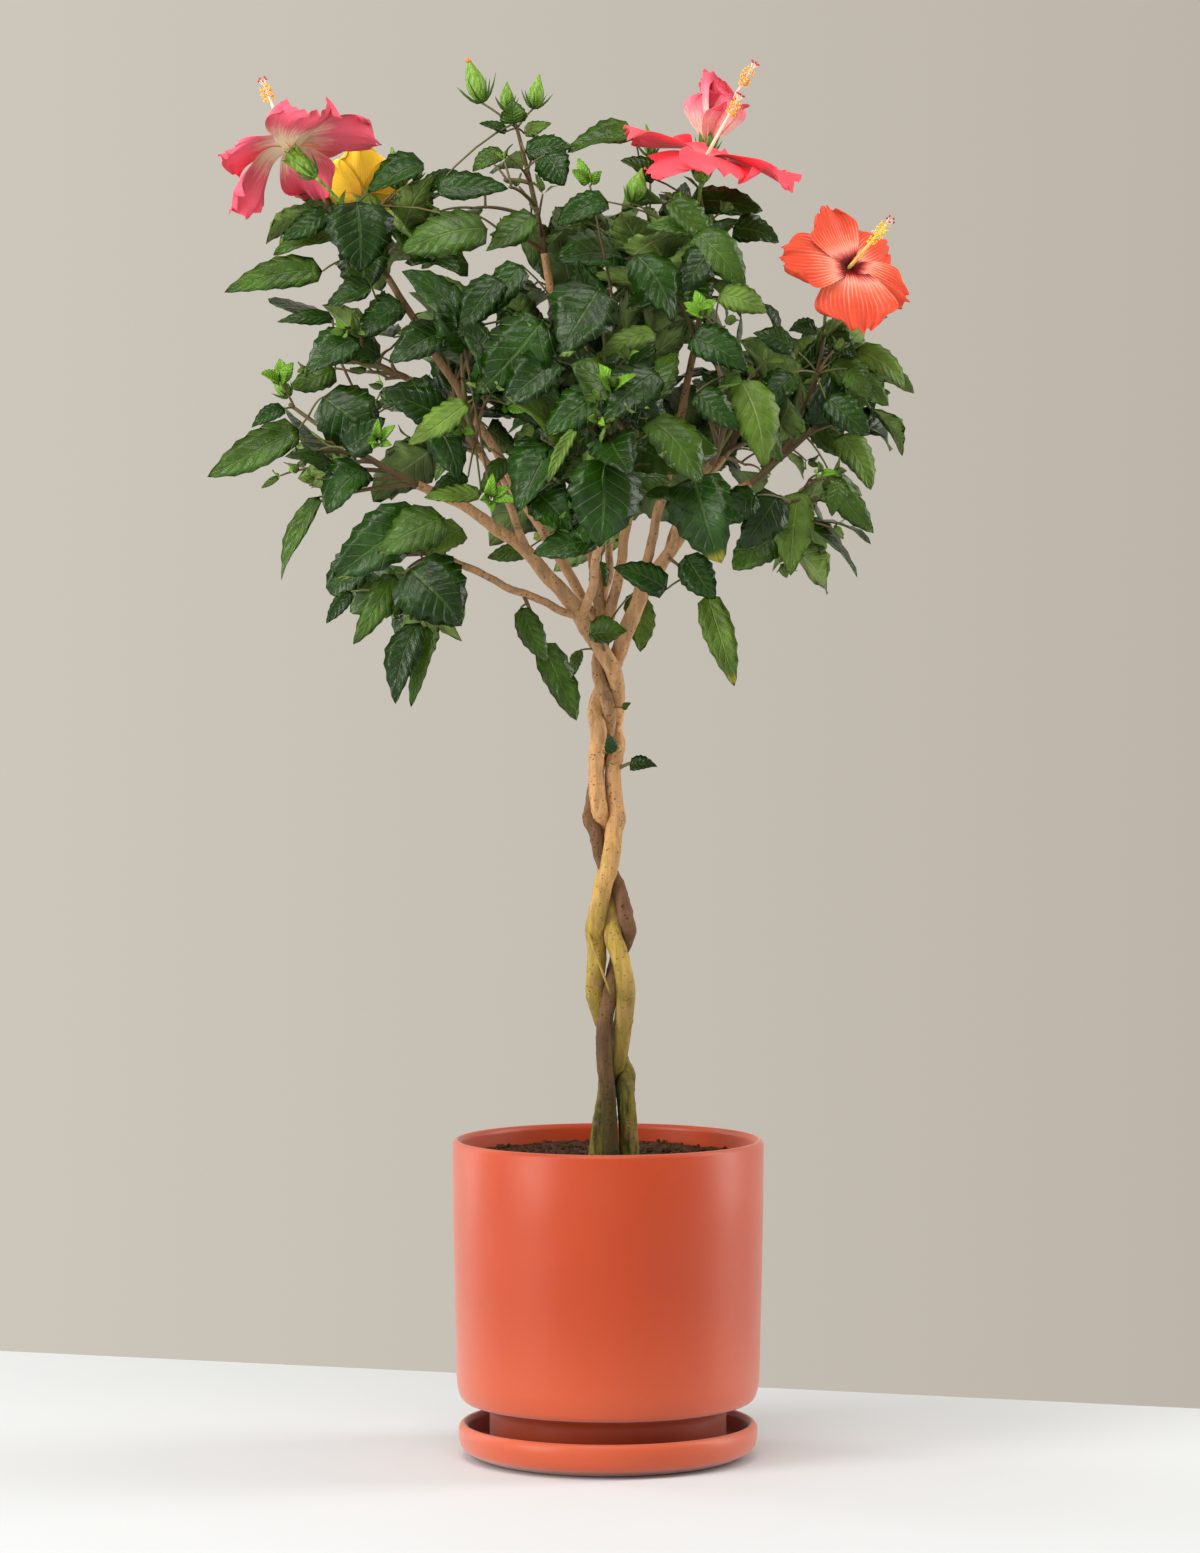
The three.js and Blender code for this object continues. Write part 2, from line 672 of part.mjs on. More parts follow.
// A bloom's pieces: its stalk and cup, its petals and, where it shows, the column.
function bloomSolids(bloom, root) {
  const axis = unit(bloom.axis);
  const waist = mix(bloom.base, bloom.centre, 0.45);
  const stalk = limbSolid([root, bloom.base, waist, bloom.centre], [1.1, 1.6, 8.5, 2.4], 4);
  const out = [stalk, corollaSolid(bloom)];
  if (bloom.column) {
    const end = add(bloom.centre, scale(axis, bloom.column));
    out.push(limbSolid([bloom.centre, end], [1.8, 3.4], 3));
  }
  return out;
}

function budSolids(bud, root) {
  const waist = mix(bud.base, bud.tip, 0.38);
  const { stalkRadius } = TWIG;
  return [limbSolid([root, bud.base, waist, bud.tip], [stalkRadius, stalkRadius, bud.radius, 0.5], 4)];
}

const root = new THREE.Group();
root.name = "hibiscus_in_pot";

function addNode(name, geometry, slot, colour) {
  const material = new THREE.MeshStandardMaterial({ color: colour, roughness: 0.8 });
  material.name = slot;
  const mesh = new THREE.Mesh(geometry, material);
  mesh.name = name;
  root.add(mesh);
}

// A turned solid from a profile of [radius, height] pairs that starts and ends on the axis.
function turned(profile) {
  const points = profile.map(([r, z]) => new THREE.Vector2(r, z));
  const geometry = new THREE.LatheGeometry(points, ROUND_SIDES);
  geometry.rotateX(Math.PI / 2);
  const solid = solidOf(geometry);
  if (solid.volume() > 0) return solid;
  return solidOf(new THREE.LatheGeometry(points.reverse(), ROUND_SIDES).rotateX(Math.PI / 2));
}

// Pot, saucer and soil.
function saucerSolid() {
  const { radius, baseRadius, height, floor, innerRadius } = SAUCER;
  const rimMiddle = (radius + innerRadius) / 2;
  return turned([
    [0, 0],
    [baseRadius, 0],
    [radius - 10, 3],
    [radius - 2.5, 9],
    [radius, 17],
    [radius, height - 3],
    [rimMiddle, height],
    [innerRadius, height - 3],
    [innerRadius, floor + 5],
    [innerRadius - 5, floor],
    [0, floor],
  ]);
}

const POT_FOOT_Z = SAUCER.floor + CLEAR;
const INNER_RIM = POT.radius - POT.wall;
const INNER_LOW = POT.lowRadius - POT.wall;
const FOOT_INNER = POT.footRadius - POT.wall;

function potSolid() {
  const { radius, lowRadius, rimHeight, bodyFoot, footRadius, innerFloor } = POT;
  return turned([
    [0, POT_FOOT_Z],
    [footRadius, POT_FOOT_Z],
    [footRadius, bodyFoot],
    [lowRadius - 12, bodyFoot],
    [lowRadius - 4, bodyFoot + 4],
    [lowRadius, bodyFoot + 13],
    [radius - 0.5, 200],
    [radius, rimHeight - 5],
    [radius - 2, rimHeight],
    [INNER_RIM + 2, rimHeight],
    [INNER_RIM, rimHeight - 5],
    [INNER_LOW, bodyFoot + 18],
    [FOOT_INNER, bodyFoot + 6],
    [FOOT_INNER, innerFloor],
    [0, innerFloor],
  ]);
}

function soilSolid() {
  const edge = SOIL_TOP - 3;
  const share = (edge - POT.bodyFoot - 18) / (POT.rimHeight - 5 - POT.bodyFoot - 18);
  const topRadius = INNER_LOW + (INNER_RIM - INNER_LOW) * share - 2 * CLEAR;
  return turned([
    [0, POT.innerFloor + CLEAR],
    [FOOT_INNER - 2 * CLEAR, POT.innerFloor + CLEAR],
    [FOOT_INNER - 2 * CLEAR, POT.bodyFoot + 6.6],
    [INNER_LOW - 2 * CLEAR, POT.bodyFoot + 18.6],
    [topRadius, edge],
    [topRadius - 20, SOIL_TOP - 1],
    [40, SOIL_TOP],
    [0, SOIL_TOP],
  ]);
}

addNode("saucer", geometryOf(saucerSolid()), "pot_clay", COLOURS.pot);
addNode("pot", geometryOf(potSolid()), "pot_clay", COLOURS.pot);
addNode("soil", geometryOf(soilSolid()), "soil", COLOURS.soil);

// Braided stems.
STEM_NAMES.forEach((name, k) => {
  const solid = cutClear(stemSolid(k));
  place(solid, name, "limb", stemSolid(k, CUT));
  const slot = k === 1 ? "bark_dark" : "bark";
  addNode(name, geometryOf(solid), slot, k === 1 ? COLOURS.darkStem : COLOURS.stem);
});

// Boughs.
const boughLines = {};
function startOf(limb) {
  if (limb.parent) return pointAlong(boughLines[limb.parent], limb.share);
  const height = limb.height ?? FORK_HEIGHT - 4;
  return [...settledStems(height)[limb.stem], height];
}

for (const bough of BOUGHS) {
  const line = bendPoints(startOf(bough), bough.pull, bough.to, BOUGH_STEPS);
  const [thick, thin] = bough.radii;
  const solid = cutClear(limbSolid(line, bough.radii, BOUGH_SIDES));
  boughLines[bough.name] = line;
  place(solid, bough.name, "limb", limbSolid(line, [thick + CUT, thin + CUT], BOUGH_SIDES));
  addNode(bough.name, geometryOf(solid), "bark", COLOURS.bough);
}

// Masses, in turns so that the outline comes before the filling: stems and shoots, then
// blooms, buds and marked leaves, then the rule's own leaves.
const grown = [...MASSES, ...SPRAYS].map((mass) => ({ mass, parts: [], lines: [], leafCount: 0 }));

function keep(entry, solid, kind, mayMeet) {
  if (!isClear(solid, mayMeet)) return null;
  entry.parts.push(solid);
  return place(solid, entry.mass.name, kind);
}

// The stem of a mass carries on from its bough's tip, or starts inside its parent.
function massStem(mass) {
  if (!mass.bough) {
    const from = startOf(mass);
    const line = bendPoints(from, add(mix(from, mass.tip, 0.5), [0, 0, 2]), mass.tip, 2);
    return { line, solid: cutClear(limbSolid(line, [2, 1.9], TWIG.sides)) };
  }
  const bough = BOUGHS.find(({ name }) => name === mass.bough);
  const along = directionAlong(boughLines[mass.bough], 1);
  const from = add(bough.to, scale(along, CLEAR));
  const pull = add(from, scale(along, 0.4 * size(sub(mass.tip, from))));
  const line = bendPoints(from, pull, mass.tip, 3);
  line.splice(1, 0, add(from, scale(along, 3)));
  return { line, solid: limbSolid(line, [bough.radii[1], MASS_STEM_TIP], MASS_STEM_SIDES) };
}

const lost = [];
for (const entry of grown) {
  const { line, solid } = massStem(entry.mass);
  if (!keep(entry, solid, "twig", () => false)) lost.push(entry.mass.name + " stem");
  entry.lines.push(line);
}

for (const entry of grown) {
  const { name, shoots } = entry.mass;
  const ownTwig = (other) => other.owner === name && other.kind === "twig";
  entry.shoots = (shoots ? growShoots(entry.mass, entry.lines[0]) : []).filter((shoot) => {
    const solid = limbSolid(shoot.points, SHOOT_RADII, TWIG.sides);
    shoot.piece = keep(entry, solid, "twig", ownTwig);
    if (shoot.piece) entry.lines.push(shoot.points);
    return shoot.piece;
  });
}

// Joins a stalked piece to its mass from the nearest twig with room that its stalk needn't
// double back from, or notes that none has.
function hang(entry, base, heading, make, label) {
  const { name } = entry.mass;
  const mayMeet = (other) => other.owner === name && other.kind === "twig";
  for (const { at } of stalkRoots(base, entry.lines)) {
    if (dot(unit(sub(base, at)), unit(heading)) < STALK_TURN) continue;
    const solids = make(at);
    if (!solids.every((solid) => isClear(solid, mayMeet))) continue;
    for (const solid of solids) keep(entry, solid, "leaf", () => true);
    return;
  }
  lost.push(name + " " + label);
}

for (const entry of grown) {
  const { marks, buds = [], blooms = [] } = entry.mass;
  for (const bloom of blooms)
    hang(entry, bloom.base, bloom.axis, (root) => bloomSolids(bloom, root), "bloom");
  for (const [baseX, baseZ, tipX, tipZ, deep, radius] of buds) {
    const bud = { base: [baseX, deep, baseZ], tip: [tipX, deep, tipZ], radius };
    hang(entry, bud.base, sub(bud.tip, bud.base), (root) => budSolids(bud, root), "bud " + baseX);
  }
  for (const [baseX, baseZ, tipX, tipZ, deep, width] of marks) {
    const base = [baseX, deep, baseZ];
    const tip = [tipX, deep - 6, tipZ];
    const make = (root) => [
      leafSolid(root, base, tip, [0, -1, 0.35], width * MARK_WIDEN),
    ];
    hang(entry, base, sub(tip, base), make, "mark " + baseX + " " + baseZ);
  }
}

// The rule's leaves, from the shoots' tips inward, until a mass has its number.
for (let joint = 0; joint < JOINTS; joint++)
  for (const entry of grown)
    for (const shoot of entry.shoots) {
      const { at, aim, length, facing } = shoot.leaves[joint];
      const base = add(at, scale(aim, LEAF.stalk));
      const tip = add(base, scale(aim, length));
      const full = entry.leafCount >= entry.mass.leaves;
      if (full || !withinSpace(tip, entry.mass, TIP_MARGIN)) continue;
      const width = (LEAF.width * length) / LEAF.length;
      const leaf = leafSolid(at, base, tip, facing, width);
      if (!keep(entry, leaf, "leaf", (other) => other === shoot.piece)) continue;
      entry.leafCount++;
    }

for (const { mass, parts } of grown) {
  const whole = Manifold.union(parts);
  if (whole.decompose().length > 1) console.log(mass.name + " has a piece that joins nothing");
  const solid = largestBody(whole.asOriginal().simplify(0.02));
  addNode(mass.name, geometryOf(solid), "foliage", COLOURS.leaf);
}

if (lost.length) console.log("no room for " + lost.join(", "));
export default root;
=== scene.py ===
"""A braided hibiscus shrub in its pot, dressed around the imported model."""

import functools
import math
import random

import bmesh
import bpy
import numpy as np
from bpy.props import FloatProperty, FloatVectorProperty, IntProperty, PointerProperty
from mathutils import Matrix, Vector, noise
from numpy.linalg import norm


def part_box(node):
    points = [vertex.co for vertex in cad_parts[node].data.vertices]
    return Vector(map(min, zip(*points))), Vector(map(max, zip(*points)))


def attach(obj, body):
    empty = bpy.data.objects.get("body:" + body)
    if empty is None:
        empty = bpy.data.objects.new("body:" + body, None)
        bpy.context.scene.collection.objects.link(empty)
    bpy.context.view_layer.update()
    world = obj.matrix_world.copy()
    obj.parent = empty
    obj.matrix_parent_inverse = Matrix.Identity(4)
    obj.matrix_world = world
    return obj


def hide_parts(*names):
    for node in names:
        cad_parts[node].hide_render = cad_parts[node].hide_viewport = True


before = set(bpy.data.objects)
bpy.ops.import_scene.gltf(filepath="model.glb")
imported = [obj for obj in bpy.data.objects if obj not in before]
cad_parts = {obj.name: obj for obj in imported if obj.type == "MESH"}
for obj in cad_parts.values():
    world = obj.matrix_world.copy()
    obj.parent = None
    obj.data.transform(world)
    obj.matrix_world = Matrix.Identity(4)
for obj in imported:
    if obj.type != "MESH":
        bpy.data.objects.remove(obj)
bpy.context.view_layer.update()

bl_info = {
    "name": "Braided hibiscus in a pot",
    "version": (1, 0, 0),
    "blender": (4, 5, 0),
    "location": "3D View > Sidebar > Hibiscus",
    "description": "Makes the pot, braided stems, boughs, leaves and blooms of a potted hibiscus",
    "category": "Object",
}

MM = 0.001  # the tables below are in millimetres, and meshes in metres
FULL_TURN = 2 * math.pi
GOLDEN_ANGLE = math.pi * (3 - math.sqrt(5))
UP = np.array([0.0, 0.0, 1.0])

# The growth of the plant, by its solids' rule and numbers, with slimmer feet under the bark.
SOIL_TOP = 250
FORK_HEIGHT = 688
CLEAR = 0.35
SETTLE_ROUNDS = 60
SETTLE_PUSH = 0.52
STEM = dict(
    foot_radius=7.8, radius=7.4, dark_radius=6.1, flare=26, slimming=0.14, slim_from=480, slim_over=90
)
BOUGH_STEPS = 4
JOINTS = 16
TIP_MARGIN = 1.5
STALK = 13
LEAF_MIDDLE = 0.45
MARK_WIDEN = 1.12
LARGE_MARK = 30
MASS_STEM_TIP = 1.5
TWIG_RADII = {
    "bud_stalk": (1.1, 0.9), "spray": (1.9, 1.1), "pale_tip": (1.3, 0.8), "twiglet": (1.15, 0.8),
}
SHOOT_RADIUS = 2.0
SHOOT_STEPS = 16
CROWN_CENTRE = np.array([-30.0, 0.0, 850.0])
CROWN_REACH = np.array([280.0, 240.0, 230.0])
VIEWER = np.array([-6.7, -4100.0, 703.0])

# Where the three stems' middles lie at each height: height, then x and y of the left foot's
# stem, the dark stem and the right foot's stem.
WEAVE = [
    (250, (-9, 7), (3, -8), (18, 4)),
    (308, (0, 8), (0, -8.5), (14, -0.5)),
    (330, (7.5, 3), (-3, -8.5), (9, 18)),
    (362, (12.5, -3), (-3, -8), (-3, 9)),
    (391, (14.5, -7), (2.5, 0.5), (-11, 4.5)),
    (419, (10, -6.5), (8.5, 8), (-9, -1)),
    (433, (4.5, -6), (15.5, 3), (-10.5, 0.5)),
    (447, (3.5, 1), (15.5, -7), (-10, -7)),
    (471, (2, 10), (9.5, -2), (-5, -6.5)),
    (496, (-2, 15), (-3.5, 2), (1.5, -11)),
    (517, (-2.5, 12), (-8.5, -1), (4, -5)),
    (546, (-8, -5), (-13, 7), (5.5, 1)),
    (572, (-10, -5), (-9, 8.5), (4, -1.5)),
    (590, (-9.5, -6.5), (-4, 6.5), (6.5, 3)),
    (608, (-7.5, -9.5), (0.5, 2.5), (5, 15)),
    (622, (-11, -1.5), (1, -5.5), (7, 7)),
    (640, (-5, 6.5), (-4, -6.5), (7.5, -0.5)),
    (656, (2, 8), (-8.5, -1), (5, -6.5)),
    (671, (9, 6), (-7, 5.5), (-4, -8)),
    (FORK_HEIGHT, (13, -3), (-1.5, 9.5), (-14, -6)),
]
STEM_NAMES = ("stem_left_foot", "stem_dark", "stem_right_foot")

# name, the stem it leaves or (parent bough, share along it), bending point, end, radii
BOUGHS = [
    ("bough_left", 2, (-66, -24, 776), (-157, -45, 810), (6.6, 3.4)),
    ("bough_right", 0, (48, -10, 778), (118, -14, 812), (6.6, 3.2)),
    ("bough_centre_left", 1, (-24, 16, 820), (-53, 12, 1004), (4.8, 2.9)),
    ("bough_left_up", 1, (-62, 30, 790), (-184, 34, 985), (4.6, 2.9)),
    ("bough_centre", 1, (20, 12, 780), (22, 4, 846), (4.8, 3.4)),
    ("bough_left_low", ("bough_left", 0.1), (-75, -55, 722), (-128, -84, 748), (3.4, 2.9)),
    ("bough_left_side", ("bough_left_up", 0.68), (-140, 10, 890), (-168, -8, 900), (3.4, 2.9)),
    ("bough_left_back", ("bough_left_up", 0.2), (-60, 70, 790), (-108, 100, 838), (3.6, 2.9)),
    ("bough_front_left", ("bough_left", 0.42), (-78, -66, 790), (-104, -104, 836), (3.4, 2.9)),
    ("bough_front", ("bough_left", 0.08), (-8, -48, 742), (-4, -112, 786), (4.2, 2.9)),
    ("bough_mid_right", ("bough_right", 0.1), (46, 4, 800), (72, -14, 925), (4.4, 2.9)),
    ("bough_front_right", ("bough_right", 0.46), (58, -54, 790), (84, -98, 826), (3.4, 2.9)),
    ("bough_right_low", ("bough_right", 0.62), (98, -34, 782), (124, -48, 790), (3.4, 2.9)),
    ("bough_right_back", ("bough_right", 0.4), (62, 40, 796), (98, 92, 836), (3.6, 2.9)),
    ("bough_back", ("bough_centre_left", 0.08), (4, 60, 744), (2, 112, 790), (4, 2.9)),
    ("bough_back_top", ("bough_centre_left", 0.5), (-30, 54, 900), (-18, 82, 948), (3.4, 2.9)),
]
# The bough that carries each stem on past the fork.
CARRIED_ON = {0: "bough_right", 1: "bough_centre_left", 2: "bough_left"}

# Masses of foliage: bough, seed, shoots, centre, reach, tip of the mass's stem, then
# marks, the leaves that draw the outline, as (base x, base z, tip x, tip z, deep, width,
# green), and buds, as (base x, base z, tip x, tip z, deep, radius).
MASSES = {
    "left": dict(
        bough="bough_left", seed=11, shoots=8,
        centre=(-245, -45, 822), reach=(84, 72, 72), tip=(-262, -52, 876),
        marks=[
            (-254, 855, -329, 816, -50, 32, 2), (-265, 872, -292, 856, -60, 14, 1),
            (-236, 800, -267, 731, -70, 17, 2), (-197, 822, -229, 785, -85, 36, 1),
            (-232, 880, -186, 845, -92, 50, 0),
        ],
        buds=[(-262, 882, -276, 900, -52, 6)],
    ),
    "left_low": dict(
        bough="bough_left_low", seed=23, shoots=5,
        centre=(-166, -96, 738), reach=(60, 62, 52), tip=(-186, -98, 752),
        marks=[
            (-150, 785, -223, 733, -110, 45, 1), (-132, 781, -186, 752, -132, 38, 2),
            (-173, 736, -207, 679, -100, 22, 2), (-209, 722, -229, 696, -96, 13, 0),
            (-160, 740, -118, 694, -138, 58, 0), (-152, 697, -172, 631, -118, 27, 0),
            (-147, 694, -160, 628, -104, 15, 2),
        ],
    ),
    "left_mid": dict(
        bough="bough_left_side", seed=37, shoots=9,
        centre=(-205, -20, 918), reach=(74, 84, 58), tip=(-230, -20, 930),
        marks=[
            (-227, 948, -273, 944, -30, 13, 1), (-194, 972, -229, 955, -76, 24, 1),
        ],
    ),
    "left_top": dict(
        bough="bough_left_up", seed=41, shoots=8,
        centre=(-208, 8, 1018), reach=(76, 84, 50), tip=(-214, 0, 1040),
        marks=[
            (-236, 987, -317, 969, -20, 27, 2), (-230, 1035, -268, 1012, -28, 21, 1),
            (-227, 1016, -277, 1000, -14, 19, 2), (-205, 1039, -202, 981, -84, 54, 0),
            (-152, 1055, -124, 1070, -10, 15, 1), (-152, 1075, -198, 1050, -30, 29, 1),
            (-98, 1016, -169, 997, -92, 40, 2),
        ],
        buds=[(-174, 1056, -179, 1090, -12, 8), (-160, 1064, -157, 1079, -2, 5)],
    ),
    "top": dict(
        bough="bough_centre_left", seed=53, shoots=9,
        centre=(-86, 0, 1040), reach=(60, 80, 58), tip=(-77, 4, 1112),
        marks=[
            (-142, 1055, -82, 1053, -34, 24, 1), (-86, 1085, -112, 1069, -12, 17, 2),
            (-84, 1104, -107, 1110, 0, 10, 1), (-70, 1104, -47, 1112, 16, 13, 3),
            (-77, 1110, -80, 1129, -6, 22, 2), (-69, 1087, -29, 1091, 0, 21, 1),
            (-52, 1083, -36, 1057, -16, 29, 1),
        ],
        buds=[
            (-105, 1128, -117, 1166, 2, 8.5), (-84, 1122, -84, 1146, 6, 6),
            (-62, 1124, -57, 1152, 8, 7),
        ],
    ),
    "top_right": dict(
        bough="bough_mid_right", seed=67, shoots=9,
        centre=(60, 4, 1000), reach=(82, 88, 66), tip=(74, 0, 1046),
        marks=[
            (22, 1104, -34, 1087, 14, 23, 2), (39, 1062, 10, 1077, -26, 19, 1),
            (68, 1048, 129, 1039, 16, 30, 1), (104, 1025, 142, 1012, 6, 27, 1),
            (87, 1019, 29, 1019, -70, 20, 2), (72, 1014, 110, 964, -92, 32, 2),
        ],
        buds=[(20, 1042, 28, 1070, -40, 9), (36, 1090, 32, 1117, 66, 5)],
    ),
    "right_top": dict(
        bough="bough_right", seed=71, shoots=8,
        centre=(170, -8, 888), reach=(66, 88, 76), tip=(180, -14, 940),
        marks=[
            (204, 922, 245, 889, -20, 25, 3), (183, 910, 231, 875, -34, 28, 2),
            (182, 933, 204, 915, -24, 20, 1), (172, 939, 149, 937, -20, 17, 1),
            (152, 920, 118, 933, -66, 23, 1), (192, 852, 217, 806, -24, 28, 3),
            (182, 820, 218, 770, -50, 25, 2),
        ],
    ),
    "right_low": dict(
        bough="bough_right_low", seed=83, shoots=7,
        centre=(146, -62, 788), reach=(62, 66, 50), tip=(166, -56, 800),
        marks=[
            (156, 804, 149, 735, -70, 31, 3), (139, 800, 106, 757, -98, 34, 0),
            (137, 768, 102, 740, -60, 36, 2), (189, 812, 182, 783, -84, 18, 2),
        ],
    ),
    "front": dict(
        bough="bough_front", seed=97, shoots=8,
        centre=(-6, -160, 842), reach=(86, 70, 96), tip=(-2, -158, 890),
        marks=[
            (68, 814, 90, 744, -176, 50, 1), (-3, 827, -7, 756, -206, 56, 1),
            (-7, 962, -40, 908, -176, 58, 0), (31, 858, 74, 806, -196, 38, 2),
            (39, 895, -4, 854, -204, 40, 0), (-7, 879, -50, 847, -196, 34, 1),
        ],
    ),
    "front_left": dict(
        bough="bough_front_left", seed=103, shoots=8,
        centre=(-116, -132, 896), reach=(62, 66, 76), tip=(-118, -128, 930),
        marks=[(-52, 937, -105, 879, -178, 50, 1)],
    ),
    "front_right": dict(
        bough="bough_front_right", seed=113, shoots=8,
        centre=(96, -126, 898), reach=(62, 66, 76), tip=(94, -124, 930),
        marks=[(106, 891, 124, 820, -156, 36, 3)],
    ),
    "core": dict(
        bough="bough_centre", seed=127, shoots=8,
        centre=(-26, -16, 912), reach=(76, 60, 66), tip=(6, -30, 950),
    ),
    "back": dict(
        bough="bough_back", seed=131, shoots=8,
        centre=(-2, 158, 838), reach=(88, 74, 88), tip=(-2, 156, 880),
    ),
    "back_left": dict(
        bough="bough_left_back", seed=149, shoots=8,
        centre=(-136, 124, 888), reach=(72, 74, 82), tip=(-138, 124, 930),
    ),
    "back_right": dict(
        bough="bough_right_back", seed=157, shoots=8,
        centre=(122, 124, 874), reach=(74, 74, 84), tip=(124, 124, 920),
    ),
    "back_top": dict(
        bough="bough_back_top", seed=163, shoots=7,
        centre=(-10, 110, 992), reach=(80, 70, 62), tip=(-8, 108, 1020),
    ),
}

# Small sprays: (stem, height) or (bough, share), tip, marks as above.
SPRAYS = {
    "spray_low_left": (
        ("bough_left_low", 0.45), (-58, -46, 690),
        [(-72, 709, -50, 664, -48, 21, 2), (-54, 680, -26, 616, -44, 27, 2)],
    ),
    "spray_low_right": (
        ("bough_right", 0.42), (68, -36, 734),
        [(82, 720, 104, 644, -36, 25, 3), (64, 752, 88, 716, -44, 28, 1), (48, 724, 4, 742, -52, 25, 1)],
    ),
    "spray_fork": (
        (2, 668), (-6, -26, 684),
        [(-16, 687, 16, 690, -27, 25, 2)],
    ),
    "spray_stem": (
        (2, 572), (22, -8, 581),
        [(18, 578, 41, 577, -12, 13, 0)],
    ),
}

# Where the wall shows through the crown from the front: x, z, half width, half height.
OPENINGS = [
    (-5, 1075, 40, 25), (-80, 1045, 25, 10), (-120, 1085, 15, 15), (45, 1080, 10, 15),
    (-215, 1060, 30, 20), (-235, 1000, 15, 10), (-90, 1000, 15, 15), (120, 1000, 15, 15),
    (150, 965, 20, 20), (-270, 920, 20, 15), (-215, 895, 20, 15), (-150, 905, 10, 10),
    (-310, 850, 35, 45), (-175, 855, 15, 10), (180, 840, 15, 15), (-110, 820, 20, 20),
    (140, 810, 10, 15), (-300, 790, 40, 25), (-225, 775, 35, 15), (35, 765, 15, 20),
    (110, 770, 10, 10), (-110, 745, 25, 10), (-75, 735, 20, 15), (60, 740, 15, 15),
]
# Limbs in sight from the front: x, z at both ends, half width, and how deep they lie.
LIMBS_IN_SIGHT = [
    (-177, 978, -92, 838, 9, 30), (-76, 1112, -62, 1000, 8, 6), (-62, 1000, -52, 948, 6, 12),
    (66, 960, 68, 850, 6, 0), (-150, 808, -60, 742, 11, -30), (60, 800, 118, 812, 7, -10),
    (-260, 872, -160, 812, 6, -40), (-120, 985, -92, 930, 5, -10), (176, 935, 150, 850, 5, -10),
]
# Leaves that stand out at the front: mass, base x, base z, tip x, tip z, deep, width, green.
FRONT_LEAVES = [
    ("top_right", 22, 994, 52, 938, -112, 38, 1), ("core", -14, 900, -56, 912, -150, 26, 1),
    ("front", 38, 928, -10, 905, -150, 19, 3), ("front_right", 66, 926, 112, 898, -150, 30, 1),
    ("front_right", 90, 962, 128, 946, -120, 24, 3), ("front", -46, 838, -72, 784, -176, 38, 1),
    ("front_left", -112, 872, -160, 838, -170, 24, 3), ("front", -8, 762, -60, 752, -170, 26, 1),
    ("core", -70, 985, -104, 940, -120, 28, 1), ("front_left", -86, 972, -120, 925, -150, 30, 0),
    ("top", -60, 1030, -100, 1000, -60, 28, 2), ("top_right", 0, 1040, -42, 1020, -70, 24, 1),
    ("front", 14, 880, 42, 838, -186, 34, 0), ("front_right", 70, 880, 104, 850, -170, 26, 1),
    ("top_right", 50, 1040, 80, 1000, -80, 26, 2), ("front_left", -130, 930, -176, 905, -140, 30, 0),
    ("left_mid", -206, 930, -246, 900, -70, 34, 1), ("front", -40, 905, -84, 870, -180, 36, 0),
    ("front_left", -140, 860, -120, 810, -150, 30, 1), ("front_right", 110, 860, 140, 826, -130, 28, 2),
    ("right_top", 178, 880, 214, 850, -60, 30, 1), ("top_right", 84, 1000, 60, 962, -100, 30, 0),
    ("left", -214, 838, -180, 862, -110, 28, 0), ("right_low", 120, 800, 84, 780, -120, 30, 1),
    ("front", -52, 842, -74, 800, -168, 30, 0), ("front", -57, 800, -30, 768, -172, 34, 1),
    ("front", -26, 850, -48, 806, -208, 11, 3), ("front_left", -113, 814, -143, 802, -130, 16, 0),
    ("front_left", -102, 800, -148, 797, -140, 15, 3), ("front_left", -82, 828, -104, 800, -130, 15, 2),
    ("front_left", -119, 848, -139, 810, -140, 17, 2), ("left_low", -118, 773, -147, 750, -110, 26, 3),
    ("back", -66, 760, -102, 751, 60, 18, 2), ("back", -6, 748, -3, 712, 40, 16, 2),
    ("spray_fork", 22, 722, 27, 672, 26, 24, 3), ("spray_fork", -23, 674, -28, 653, -12, 10, 2),
    ("spray_stem", 3, 588, 0, 605, -15, 11, 1), ("spray_stem", 12, 626, 19, 630, -9, 6, 2),
    ("left_mid", -170, 960, -205, 930, -40, 30, 1), ("left_mid", -225, 905, -262, 890, -30, 24, 2),
    ("right_top", 150, 900, 126, 866, -80, 30, 1), ("right_top", 196, 905, 214, 880, -50, 24, 2),
    ("back_left", -196, 872, -222, 850, 60, 30, 2), ("back_right", 176, 868, 196, 836, 50, 30, 2),
]
# Pale tips that unfold at the front: mass, x, z, deep, size.
PALE_TIPS = [
    ("front_left", -94, 796, -150, 15), ("front", 2, 880, -200, 17), ("front_right", 77, 942, -150, 17),
    ("left", -268, 892, -60, 15), ("left_mid", -186, 842, -120, 13), ("core", -15, 1054, -60, 14),
]

